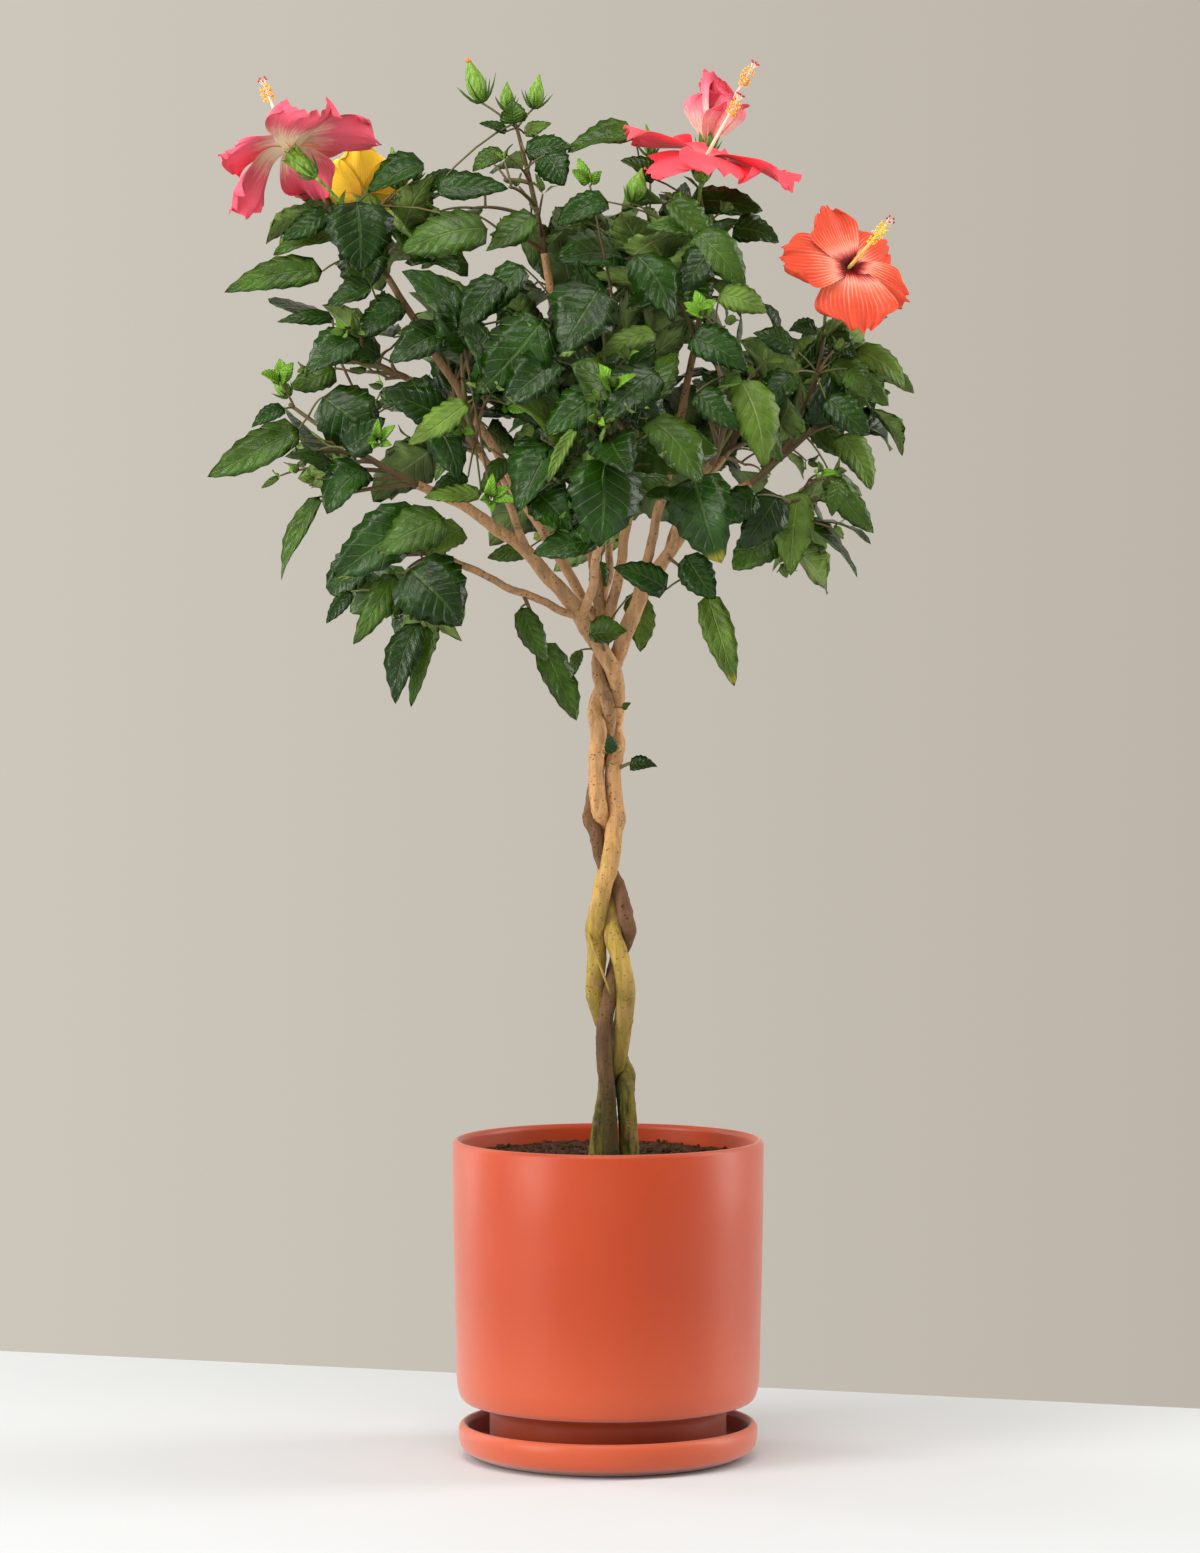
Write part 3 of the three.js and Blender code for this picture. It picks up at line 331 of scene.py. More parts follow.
# Open flowers: the mass that carries each, where its cup and its petals start, how ruffled
# it is, which way it faces, its petals' length, its column's end as seen from the petals'
# start, and its petals as turn, opening, curl, length and width, the last two as shares.
BLOOMS = {
    "pink": dict(
        mass="left_top", base=(-240, -46, 1062), centre=(-262, -34, 1084), ruffle=0.24,
        axis=(-0.28, 0.42, 0.86), radius=70, column=(-22, 24, 56),
        petals=[(76, 96, 8, 1.18, 1.0), (-5, 98, 6, 0.9, 1.0), (-99, 102, 8, 0.92, 0.66),
                (-137, 130, 8, 1.08, 0.66), (130, 124, 10, 0.9, 0.7)],
    ),
    "yellow": dict(
        mass="left_top", base=(-192, 24, 1036), centre=(-206, 34, 1052), ruffle=0.12,
        axis=(0.05, 0.8, 0.6), radius=46, column=(2, 16, 18),
        petals=[(0, 62, 10, 1.0, 0.9), (72, 66, 14, 1.05, 0.9), (144, 70, 10, 1.0, 0.9),
                (216, 70, 8, 1.0, 0.9), (288, 66, 16, 1.05, 0.9)],
    ),
    "coral": dict(
        mass="top_right", base=(77, -16, 1060), centre=(78, -14, 1076), ruffle=0.15,
        axis=(0.3, -0.04, 0.95), radius=74, column=(28, -8, 50),
        petals=[(262, 92, 8, 1.0, 1.05), (314, 114, 40, 0.86, 0.9), (22, 96, 30, 0.9, 1.0),
                (84, 88, 22, 1.14, 0.95), (172, 80, 12, 0.95, 1.0)],
    ),
    "rose": dict(
        mass="top_right", base=(82, 62, 1088), centre=(84, 64, 1100), ruffle=0.16,
        axis=(0.2, -0.04, 0.98), radius=58, column=(36, -16, 60),
        petals=[(0, 16, 22, 0.82, 1.0), (80, 26, 36, 0.84, 0.95), (150, 22, 30, 0.82, 0.9),
                (232, 12, 10, 1.08, 0.9), (292, 14, 14, 0.94, 0.95)],
    ),
    "orange": dict(
        mass="right_top", base=(181, -22, 971), centre=(197, -42, 987), ruffle=0.13,
        axis=(0.3, -0.84, 0.45), radius=60, column=(29, -48, 33),
        petals=[(24, 74, 4, 0.94, 0.8), (90, 84, 8, 1.14, 0.96), (176, 90, 6, 1.12, 1.16),
                (232, 88, 20, 0.98, 0.74), (300, 86, 30, 0.8, 0.76)],
    ),
}


def srgb(red, green, blue):
    """A colour given as 0 to 255 on screen, as the linear numbers that materials hold."""
    shares = [value / 255 for value in (red, green, blue)]
    return tuple(s / 12.92 if s <= 0.04045 else ((s + 0.055) / 1.055) ** 2.4 for s in shares)


# Sizes and colours a user may change.


def length(name, description, default):
    return FloatProperty(
        name=name, description=description, default=default, min=0.0, max=1.0, unit="LENGTH"
    )


def colour(name, description, default):
    return FloatVectorProperty(
        name=name, description=description, default=default, size=3, min=0, max=1, subtype="COLOR"
    )


POT_LOW, POT_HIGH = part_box("pot")
SAUCER_LOW, SAUCER_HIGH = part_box("saucer")


class HibiscusPotSizes(bpy.types.PropertyGroup):
    """The pot's own sizes. What isn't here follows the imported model."""

    rim_radius: length("Rim radius", "Outside radius of the pot at its rim", POT_HIGH.x)
    low_radius: length("Low radius", "Outside radius of the pot just above its foot", 0.1265)
    wall: length("Wall", "Thickness of the pot's wall", 0.0068)
    body_foot: length("Body foot", "Height at which the pot's body starts", 0.0455)
    foot_radius: length("Foot radius", "Radius of the pot's set-back foot", 0.099)
    saucer_radius: length("Saucer radius", "Outside radius of the saucer", SAUCER_HIGH.x)
    saucer_wall: length("Saucer wall", "Thickness of the saucer's rim", 0.008)
    soil_top: length("Soil height", "Height of the soil in the pot", SOIL_TOP * MM)
    segments: IntProperty(
        name="Segments", description="Facets round the pot", default=144, min=24, max=256
    )


class HibiscusPlantSizes(bpy.types.PropertyGroup):
    """Sizes of the leaves and limbs."""

    leaf_length: length("Leaf length", "Length of a full-grown leaf's blade", 0.072)
    leaf_width: length("Leaf width", "Width of a full-grown leaf's blade", 0.054)
    leaf_gap: length("Leaf gap", "Least distance between two leaves' middles", 0.027)
    leaf_thickness: length("Leaf thickness", "Thickness of a blade", 0.0005)
    stalk_radius: length("Stalk radius", "Radius of a leaf's stalk", 0.0008)
    bark_relief: length("Bark relief", "Height of the ridges in the bark", 0.0007)


class HibiscusColours(bpy.types.PropertyGroup):
    """The colours of pot and plant."""

    clay: colour("Clay", "The pot's terracotta glaze", srgb(178, 58, 7))
    soil: colour("Soil", "Potting soil", srgb(72, 46, 28))
    bark: colour("Bark", "Bark of the upper stems", srgb(205, 155, 103))
    low_bark: colour("Low bark", "Bark with algae lower down", srgb(174, 150, 58))
    moss: colour("Moss", "Mossy green at the stems' feet", srgb(42, 50, 4))
    dark_bark: colour("Dark bark", "Bark of the dark stem", srgb(112, 82, 58))
    bough: colour("Bough", "Bark of the boughs", srgb(174, 135, 97))
    twig: colour("Twig", "Young reddish wood", srgb(104, 82, 54))
    stalk: colour("Stalk", "Stalks of leaves and buds", srgb(88, 92, 44))
    leaf: colour("Leaf", "Glossy upper side of a leaf", srgb(29, 63, 5))
    light_leaf: colour("Light leaf", "Upper side of a young leaf", srgb(92, 121, 34))
    lime_leaf: colour("Lime leaf", "Unfolding leaves and buds", srgb(108, 160, 38))
    under: colour("Underside", "Under side of a leaf", srgb(104, 130, 58))
    orange_petal: colour("Orange petal", "Petals of the orange bloom", srgb(222, 78, 52))
    coral_petal: colour("Coral petal", "Petals of the coral bloom", srgb(250, 84, 98))
    pink_petal: colour("Pink petal", "Petals of the pink bloom", srgb(246, 98, 120))
    yellow_petal: colour("Yellow petal", "Petals of the yellow bloom", srgb(248, 204, 60))


PROPERTY_GROUPS = {
    "hibiscus_pot": HibiscusPotSizes,
    "hibiscus_plant": HibiscusPlantSizes,
    "hibiscus_colours": HibiscusColours,
}


def plant_sizes():
    return bpy.context.scene.hibiscus_plant


def colours():
    return bpy.context.scene.hibiscus_colours


# Vectors, repeatable numbers and lines.


def vec(*values):
    return np.array(values[0] if len(values) == 1 else values, float)


def unit(a):
    return a / (norm(a) or 1.0)


def mix(a, b, t):
    return a * (1 - t) + b * t


def turned_to(u, v, angle):
    """The direction at an angle from u towards v."""
    return u * math.cos(angle) + v * math.sin(angle)


def square_to(axis, hint):
    """Two directions square to an axis and to each other."""
    side = unit(np.cross(axis, hint))
    return side, np.cross(axis, side)


DRAW_FACTOR = 16807
DRAW_RANGE = 2147483647


def seeded(seed):
    """Repeatable numbers from 0 to 1, the same as the solids' own."""
    state = seed

    def draw():
        nonlocal state
        state = state * DRAW_FACTOR % DRAW_RANGE
        return state / DRAW_RANGE

    return draw


def bend_points(start, pull, end, steps):
    start, pull, end = vec(start), vec(pull), vec(end)
    shares = [k / steps for k in range(steps + 1)]
    return np.array([mix(mix(start, pull, t), mix(pull, end, t), t) for t in shares])


def bowed(start, end, lift, steps):
    """A line whose middle is lifted."""
    return bend_points(start, mix(start, end, 0.5) + UP * lift, end, steps)


def point_along(points, share):
    at = share * (len(points) - 1)
    k = min(int(at), len(points) - 2)
    return mix(points[k], points[k + 1], at - k)


def direction_along(points, share):
    k = min(int(share * (len(points) - 1)), len(points) - 2)
    return unit(points[k + 1] - points[k])


def smoothed(points, rounds):
    points = np.array(points, float)
    for _ in range(rounds):
        points[1:-1] = points[1:-1] * 0.5 + (points[:-2] + points[2:]) * 0.25
    return points


def run_along(points):
    """How far along a line each of its points lies."""
    steps = norm(np.diff(points, axis=0), axis=1)
    return np.concatenate([[0], np.cumsum(steps)])


def respaced(points, spacing):
    """A line's points at an even spacing, and how far along it each one lies."""
    points = np.array(points, float)
    run = run_along(points)
    count = max(3, int(round(run[-1] / spacing)) + 1)
    at = np.linspace(0, run[-1], count)
    return np.stack([np.interp(at, run, points[:, i]) for i in range(3)], axis=1), at


def steep_hint(along):
    """A direction that isn't close to the given one."""
    return vec(1, 0, 0) if abs(along[2]) > 0.9 else UP


def frames_along(points):
    """Two directions square to a line at each point, carried along it without twist."""
    ahead = np.gradient(points, axis=0)
    out = []
    u = None
    for step in ahead:
        along = unit(step)
        hint = steep_hint(along) if u is None else u
        u = unit(hint - along * hint.dot(along))
        out.append((u, np.cross(along, u)))
    return np.array([f[0] for f in out]), np.array([f[1] for f in out])


def wandering(line, amount, phase):
    """A limb's line made slightly crooked, with both of its ends left in place."""
    run = run_along(line)
    hold = np.sqrt(np.abs(np.sin(math.pi * run / run[-1])))
    sway = np.sin(run / 9.5 + phase) * 0.7 + np.sin(run / 4.3 + 2 * phase) * 0.3
    swing = np.cos(run / 11 + 1.7 * phase)
    u, v = frames_along(line)
    return line + amount * hold[:, None] * (u * sway[:, None] + v * swing[:, None])


# Where the plant grows, by the seeded rule.


def weave_at(height):
    k = 0
    while k < len(WEAVE) - 2 and WEAVE[k + 1][0] < height:
        k += 1
    share = (height - WEAVE[k][0]) / (WEAVE[k + 1][0] - WEAVE[k][0])
    rows = [WEAVE[min(max(i, 0), len(WEAVE) - 1)] for i in (k - 1, k, k + 1, k + 2)]
    places = []
    for stem in (1, 2, 3):
        a, b, c, d = (vec(row[stem]) for row in rows)
        curve = a * -0.5 + b * 1.5 - c * 1.5 + d * 0.5
        turn = a - 2.5 * b + 2 * c - 0.5 * d
        places.append(((curve * share + turn) * share + (c - a) * 0.5) * share + b)
    return places


def stem_radius(stem, height):
    body = STEM["dark_radius"] if stem == 1 else STEM["radius"]
    flare = max(0.0, 1 - (height - SOIL_TOP) / STEM["flare"])
    risen = min(1.0, max(0.0, (height - STEM["slim_from"]) / STEM["slim_over"]))
    slim = 1 - STEM["slimming"] * risen
    return body * slim + (STEM["foot_radius"] - STEM["radius"]) * flare * flare


def settled_stems(height):
    """The stems' middles at a height, pushed apart until none touches another."""
    places = weave_at(height)
    for _ in range(SETTLE_ROUNDS):
        for i, j in ((0, 1), (0, 2), (1, 2)):
            need = stem_radius(i, height) + stem_radius(j, height) + 3 * CLEAR
            apart = places[j] - places[i]
            short = need - norm(apart)
            if short > 0:
                push = unit(apart) * short * SETTLE_PUSH
                places[i] = places[i] - push
                places[j] = places[j] + push
    return places


def stem_point(stem, height):
    return np.append(settled_stems(height)[stem], height)


@functools.cache
def bough_lines():
    """Each bough's coarse line, which its side boughs and sprays start from."""
    lines = {}
    for name, origin, pull, end, _ in BOUGHS:
        if isinstance(origin, int):
            start = stem_point(origin, FORK_HEIGHT - 4)
        else:
            start = point_along(lines[origin[0]], origin[1])
        lines[name] = bend_points(start, pull, end, BOUGH_STEPS)
    return lines


def bough_row(name):
    return next(row for row in BOUGHS if row[0] == name)


def shoot_direction(k, count, draw):
    height = 1 - (2 * (k + 0.5)) / count
    around = k * GOLDEN_ANGLE + 0.5 * (draw() - 0.5)
    flat = math.sqrt(max(0.0, 1 - height * height))
    return vec(flat * math.cos(around), flat * math.sin(around), height)


def rule_leaf(points, share, angle, draw):
    """The leaf that a shoot carries at one of its joints."""
    at = point_along(points, share)
    along = direction_along(points, share)
    u, v = square_to(along, steep_hint(along))
    side = turned_to(u, v, angle)
    outward = unit(at - CROWN_CENTRE)
    droop = 0.1 + 0.5 * draw()
    grown = 0.82 + 0.34 * draw()
    aim = unit(side * 0.75 + along * 0.4 + outward * 0.45 - UP * droop)
    swing = FULL_TURN * draw()
    sway = vec(math.cos(swing), math.sin(swing), 0)
    facing = outward * 0.7 + UP * 0.4 + sway * 0.75
    return dict(at=at, aim=aim, grown=grown, facing=facing)


def grow_shoots(mass, stem):
    """A mass's shoots, with the leaves that the rule offers at their joints."""
    draw = seeded(mass["seed"])
    centre, reach = vec(mass["centre"]), vec(mass["reach"])
    shoots = []
    for k in range(mass["shoots"]):
        aim = shoot_direction(k, mass["shoots"], draw)
        spread = 0.4 + 0.2 * draw()
        end = centre + aim * reach * spread
        lift = min(1.0, max(0.0, 0.5 + 0.5 * aim[2]))
        share = 0.08 + 0.8 * lift * (0.8 + 0.2 * draw())
        root = point_along(stem, share)
        reach_out = norm(end - root)
        pull = mix(root, end, 0.5) + direction_along(stem, share) * 0.16 * reach_out
        points = bend_points(root, pull, end, 2)
        angle = FULL_TURN * draw()
        leaves = []
        for j in range(JOINTS):
            angle += GOLDEN_ANGLE
            place = 0.96 - (0.76 * (j + 0.4 * draw())) / JOINTS
            leaves.append(rule_leaf(points, place, angle, draw))
        shoots.append(dict(points=points, curve=(root, pull, end), leaves=leaves))
    return shoots


def within(point, mass, margin):
    offset = (point - vec(mass["centre"])) / vec(mass["reach"])
    return norm(offset) <= margin


def mass_stem(mass):
    bough, _, _, end, _ = bough_row(mass["bough"])
    along = direction_along(bough_lines()[bough], 1)
    start, tip = vec(end), vec(mass["tip"])
    pull = start + along * 0.4 * norm(tip - start)
    line = bend_points(start, pull, tip, 3)
    return np.insert(line, 1, start + along * 3, axis=0), (start, pull, tip)


# How the leaves' greens are dealt out by spray: deep, dark, mid, light, pale.
GREENS = ("leaf_deep", "leaf_dark", "leaf_mid", "leaf_light", "leaf_lime")
GREEN_SHARES = (0.3, 0.36, 0.22, 0.1, 0.02)
UNDER_SLOT = len(GREENS)
SHADED_SLOT = UNDER_SLOT + 1
LIME = GREENS.index("leaf_lime")
SHADED_REACH = 0.55
SHADED_REACH_BEHIND = 0.75


def is_inside(place, mass):
    """Whether a leaf sits where the crown's own shade makes it dark."""
    reach = norm((place - CROWN_CENTRE) / CROWN_REACH)
    return reach < (SHADED_REACH_BEHIND if mass.startswith("back") else SHADED_REACH)


def deal_green(dice):
    roll, total = dice.random(), 0.0
    for k, share in enumerate(GREEN_SHARES):
        total += share
        if roll < total:
            return k
    return 0


def seen(points):
    """Where points are seen from the front, as x and z on the pot's own plane."""
    points = np.atleast_2d(points)
    nearer = VIEWER[1] / (VIEWER[1] - points[:, 1])
    return VIEWER[[0, 2]] + (points[:, [0, 2]] - VIEWER[[0, 2]]) * nearer[:, None]


def in_opening(places, margin=0.0):
    """Whether any of these places, seen from the front, lies where the wall shows through."""
    for x, z, wide, tall in OPENINGS:
        offsets = (places - vec(x, z)) / vec(wide + margin, tall + margin)
        if (norm(offsets, axis=1) < 1).any():
            return True
    return False


def hides_limb(places, depth):
    """Whether a leaf lies in front of a limb that stays in sight."""
    for x0, z0, x1, z1, half, deep in LIMBS_IN_SIGHT:
        if depth > deep:
            continue
        start, line = vec(x0, z0), vec(x1 - x0, z1 - z0)
        share = np.clip((places - start) @ line / line.dot(line), 0, 1)
        if norm(places - start - np.outer(share, line), axis=1).min() < half:
            return True
    return False


BLOOM_CLEAR = 0.8  # of a bloom's radius
OPENING_CLEAR = 0.3  # of a leaf's width
STALK_BOW = 0.12
STALK_PLACES = (0.15, 0.3, 0.45, 0.6, 0.75, 0.9, 0.97)  # along a twig
OWN_GREEN = 0.7  # how often a leaf takes its shoot's green
TWIGLET_PLACES = (0.5, 0.8, 1.0)  # along a shoot
TWIGLET_GAP = 0.8
TIP_CHANCE = 0.35
NEAR_ROOT = 2.5


class Growth:
    """Every twig, leaf and bud of the crown, by mass, in millimetres."""

    def __init__(self):
        sizes = plant_sizes()
        self.leaf_length = sizes.leaf_length / MM
        self.leaf_width = sizes.leaf_width / MM
        self.stalk_radius = sizes.stalk_radius / MM
        self.gap = sizes.leaf_gap / MM
        self.twigs = []  # (points, radii)
        self.stalks = []
        self.leaves = {name: [] for name in (*MASSES, *SPRAYS)}
        self.buds = []
        self.middles = np.zeros((0, 3))
        self.shown = []  # leaves that others may not hide: x, z, depth, radius

    def has_room(self, base, tip, width, gap):
        """Room among the leaves, off the blooms, and clear of what the front shows."""
        middle = mix(base, tip, LEAF_MIDDLE)
        if len(self.middles) and norm(self.middles - middle, axis=1).min() < gap:
            return False
        for bloom in BLOOMS.values():
            if norm(middle - vec(bloom["centre"])) < BLOOM_CLEAR * bloom["radius"]:
                return False
        places = seen(np.array([mix(base, tip, share) for share in (0.1, 0.35, 0.6, 0.85)]))
        if in_opening(places, OPENING_CLEAR * width) or hides_limb(places, middle[1]):
            return False
        at = places[1:3].mean(axis=0)
        return not any(
            middle[1] < deep - 2 and norm(at - vec(x, z)) < radius
            for x, z, deep, radius in self.shown
        )

    def add_leaf(self, owner, root, base, tip, facing, width, green, room=None, stalked=True):
        """A leaf and its stalk, if there is room."""
        if room is not None and not self.has_room(base, tip, width, room):
            return False
        self.middles = np.vstack([self.middles, mix(base, tip, LEAF_MIDDLE)])
        self.leaves[owner].append((base, tip, facing, width, green))
        if stalked:
            line = bowed(root, base, STALK_BOW * norm(base - root), 4)
            self.stalks.append((line, (self.stalk_radius * 1.25, self.stalk_radius)))
        return True

    def add_mark(self, owner, lines, mark, dice, green, least=4.0):
        """A leaf that the photograph shows."""
        base_x, base_z, tip_x, tip_z, deep, width = mark
        base, tip = vec(base_x, deep, base_z), vec(tip_x, deep - 6, tip_z)
        root = nearest_twig(base, unit(tip - base), lines, least)
        facing = vec(dice.uniform(-0.35, 0.35), -1, dice.uniform(0.2, 0.6))
        self.add_leaf(owner, root, base, tip, facing, width * MARK_WIDEN, green)
        size = norm(tip - base)
        if size > LARGE_MARK:
            at = seen(mix(base, tip, 0.5))[0]
            self.shown.append((*at, deep, 0.42 * size + 12))


def nearest_twig(point, heading, lines, least=4.0):
    """The place on a mass's own twigs that a stalk can start from."""
    best = None
    for line in lines:
        for share in STALK_PLACES:
            at = point_along(line, share)
            step = point - at
            far = norm(step)
            if far < least or step.dot(heading) / far < -0.3:
                continue
            if best is None or far < best[0]:
                best = (far, at)
    return best[1] if best else lines[0][-1]


@functools.cache
def growth():
    """Grows the crown: marks, then the rule's leaves, then finer twigs and tips."""
    out = Growth()
    dice = random.Random(7)
    grown = {name: grow_mass(out, mass, dice) for name, mass in MASSES.items()}
    add_marks(out, grown, dice)
    add_front(out, grown, add_sprays(out, dice), dice)
    add_rule_leaves(out, grown, dice)
    for name, (mass, shoots, _) in grown.items():
        for shoot in shoots:
            grow_twiglets(out, name, mass, shoot, dice)
    add_shoots(out, grown)
    return out


def grow_mass(out, mass, dice):
    """A mass, its shoots with the green of each, and the lines that leaves can hang from."""
    stem, curve = mass_stem(mass)
    shoots = grow_shoots(mass, stem)
    *_, (_, thick) = bough_row(mass["bough"])
    out.twigs.append((bend_points(*curve, 14), (thick, MASS_STEM_TIP)))
    for shoot in shoots:
        shoot["green"] = deal_green(dice)
    return mass, shoots, [stem, *(shoot["points"] for shoot in shoots)]


def add_marks(out, grown, dice):
    """The leaves and buds that draw each mass's outline."""
    for name, (mass, _, lines) in grown.items():
        for *mark, green in mass.get("marks", ()):
            out.add_mark(name, lines, mark, dice, green)
        for base_x, base_z, tip_x, tip_z, deep, radius in mass.get("buds", ()):
            base, tip = vec(base_x, deep, base_z), vec(tip_x, deep, tip_z)
            root = nearest_twig(base, unit(tip - base), lines)
            out.stalks.append((bowed(root, base, 2, 4), TWIG_RADII["bud_stalk"]))
            out.buds.append((base, tip, radius))


def add_sprays(out, dice):
    """The small sprays on bare wood, and the line of each."""
    sprays = {}
    for name, (origin, tip, marks) in SPRAYS.items():
        sprays[name] = [spray_line(origin, tip)]
        out.twigs.append((sprays[name][0], TWIG_RADII["spray"]))
        for *mark, green in marks:
            out.add_mark(name, sprays[name], mark, dice, green, 1.0)
    return sprays


def add_front(out, grown, sprays, dice):
    """The single leaves and the pale tips that stand out at the front."""
    for name, *mark, green in FRONT_LEAVES:
        if name in sprays:
            foot = mark[1]
            stems = [np.array([stem_point(k, foot - 10), stem_point(k, foot)]) for k in range(3)]
            lines = [*sprays[name], *(stems if foot < FORK_HEIGHT else [])]
        else:
            lines = grown[name][2]
        out.add_mark(name, lines, mark, dice, green, 1.0)
    for name, x, z, deep, size in PALE_TIPS:
        at = vec(x, deep, z)
        root = nearest_twig(at, UP, grown[name][2])
        aim = unit(unit(at - root) + UP + vec(0, -0.5, 0))
        out.twigs.append((bowed(root, at, 3, 6), TWIG_RADII["pale_tip"]))
        grow_tip(out, name, at, aim, dice, 5, size * 1.2, LIME, vec(0, -1, 0.35))


def add_rule_leaves(out, grown, dice):
    """The rule's own leaves, one joint of every shoot after the other."""
    for joint in range(JOINTS):
        for name, (mass, shoots, _) in grown.items():
            for shoot in shoots:
                leaf = shoot["leaves"][joint]
                size = leaf["grown"] * dice.uniform(0.8, 1.1)
                base = leaf["at"] + leaf["aim"] * STALK * (0.7 + dice.random())
                tip = base + leaf["aim"] * out.leaf_length * size
                if not within(tip, mass, TIP_MARGIN):
                    continue
                width = out.leaf_width * size * dice.uniform(0.75, 1.08)
                green = shoot["green"] if dice.random() < OWN_GREEN else deal_green(dice)
                # painted shade: leaves inside the crown take only the deep or dark green
                if is_inside(leaf["at"], name):
                    green = min(green, 1)
                out.add_leaf(name, leaf["at"], base, tip, leaf["facing"], width, green, out.gap)


def add_shoots(out, grown):
    """Each shoot as a twig, as far as its last leaf."""
    roots = np.array([points[0] for points, _ in (*out.stalks, *out.twigs)])
    for _, shoots, _ in grown.values():
        for shoot in shoots:
            last = last_root(shoot["points"], roots)
            if last:
                line = bend_points(*shoot["curve"], SHOOT_STEPS)
                line = line[: max(3, math.ceil(last * SHOOT_STEPS) + 1)]
                out.twigs.append((line, (SHOOT_RADIUS, SHOOT_RADIUS - last)))


def spray_line(origin, tip):
    if isinstance(origin[0], int):
        start = stem_point(*origin)
    else:
        start = point_along(bough_lines()[origin[0]], origin[1])
    return bowed(start, vec(tip), 2, 6)


def last_root(line, roots):
    """How far along a shoot its last leaf or twig starts, or 0 if it is bare."""
    shares = np.linspace(0.12, 1, 45)
    places = np.array([point_along(line, share) for share in shares])
    near = norm(places[:, None] - roots[None], axis=2).min(axis=1) < NEAR_ROOT
    return shares[near].max() if near.any() else 0.0


def grow_twiglets(out, name, mass, shoot, dice):
    """Finer twigs off a shoot, each with a few leaves and an unfolding tip."""
    line = shoot["points"]
    for share in TWIGLET_PLACES:
        at = point_along(line, share)
        along = direction_along(line, share)
        outward = unit(at - CROWN_CENTRE)
        stray = vec(dice.gauss(0, 1), dice.gauss(0, 1), dice.gauss(0, 0.7))
        aim = unit(along * (1.1 if share == 1.0 else 0.4) + outward * 0.6 + unit(stray) * 0.7)
        end = at + aim * dice.uniform(16, 30)
        if not within(end, mass, 1.05) or hides_limb(seen(end), end[1]):
            continue
        points = bowed(at, end, 2.5, 5)
        carried = 0
        for k in range(2):
            turn = dice.uniform(0, FULL_TURN)
            side = turned_to(unit(np.cross(aim, UP)), UP, turn)
            heading = unit(aim * 0.5 + side * 0.8 + outward * 0.4 - UP * dice.uniform(0.1, 0.7))
            root = point_along(points, 1 - 0.3 * k)
            size = dice.uniform(0.55, 0.9)
            base = root + heading * dice.uniform(8, 15)
            tip = base + heading * out.leaf_length * size
            sway = vec(dice.gauss(0, 0.5), dice.gauss(0, 0.5), 0)
            facing = outward * 0.8 + UP * 0.5 + sway
            width = out.leaf_width * size * dice.uniform(0.75, 1.05)
            if within(tip, mass, TIP_MARGIN):
                # painted shade: leaves inside the crown take only the deep or dark green
                green = min(shoot["green"], 1) if is_inside(root, name) else shoot["green"]
                gap = out.gap * TWIGLET_GAP
                carried += out.add_leaf(name, root, base, tip, facing, width, green, gap)
        if dice.random() < TIP_CHANCE and (carried or not in_opening(seen(end))):
            carried += 1
            grow_tip(out, name, end, aim, dice, 3)
        if carried:
            out.twigs.append((points, TWIG_RADII["twiglet"]))


def grow_tip(out, name, at, aim, dice, count, size=12.0, green=None, facing=None):
    """Small young leaves that unfold round the end of a twig."""
    u, v = square_to(aim, UP + vec(0.01, 0, 0))
    for k in range(count):
        outward = turned_to(u, v, k * GOLDEN_ANGLE + dice.uniform(0, 0.6))
        heading = unit(aim * 0.8 + outward * 0.8)
        base = at + heading * 2.0
        tip = base + heading * size * dice.uniform(0.8, 1.5)
        young = green if green is not None else (LIME if dice.random() < 0.3 else 3)
        width = size * dice.uniform(0.5, 0.75)
        front = aim * 0.6 - outward if facing is None else facing - outward * 0.3
        out.add_leaf(name, at, base, tip, front, width, young, None, False)


# Joined meshes from arrays.


SAME_PLACE = 1e-6  # points of a mesh nearer than this are one
SAME_REST_PLACE = 1e-4  # the same for a template


class Template:
    """A shape made once by mesh operators, kept as arrays that copies are made from."""

    def __init__(self, bm):
        bm.verts.ensure_lookup_table()
        bm.faces.ensure_lookup_table()
        self.rest = np.array([v.co for v in bm.verts])
        self.corners = np.array([v.index for f in bm.faces for v in f.verts])
        self.counts = np.array([len(f.verts) for f in bm.faces])
        self.part = np.array([f.material_index for f in bm.faces])
        bm.free()

    def flat_uvs(self):
        """A map for a shape made flat, from -1 to 1 across and 0 to 1 along."""
        return np.stack([self.rest[:, 0] * 0.5 + 0.5, self.rest[:, 1]], axis=1)


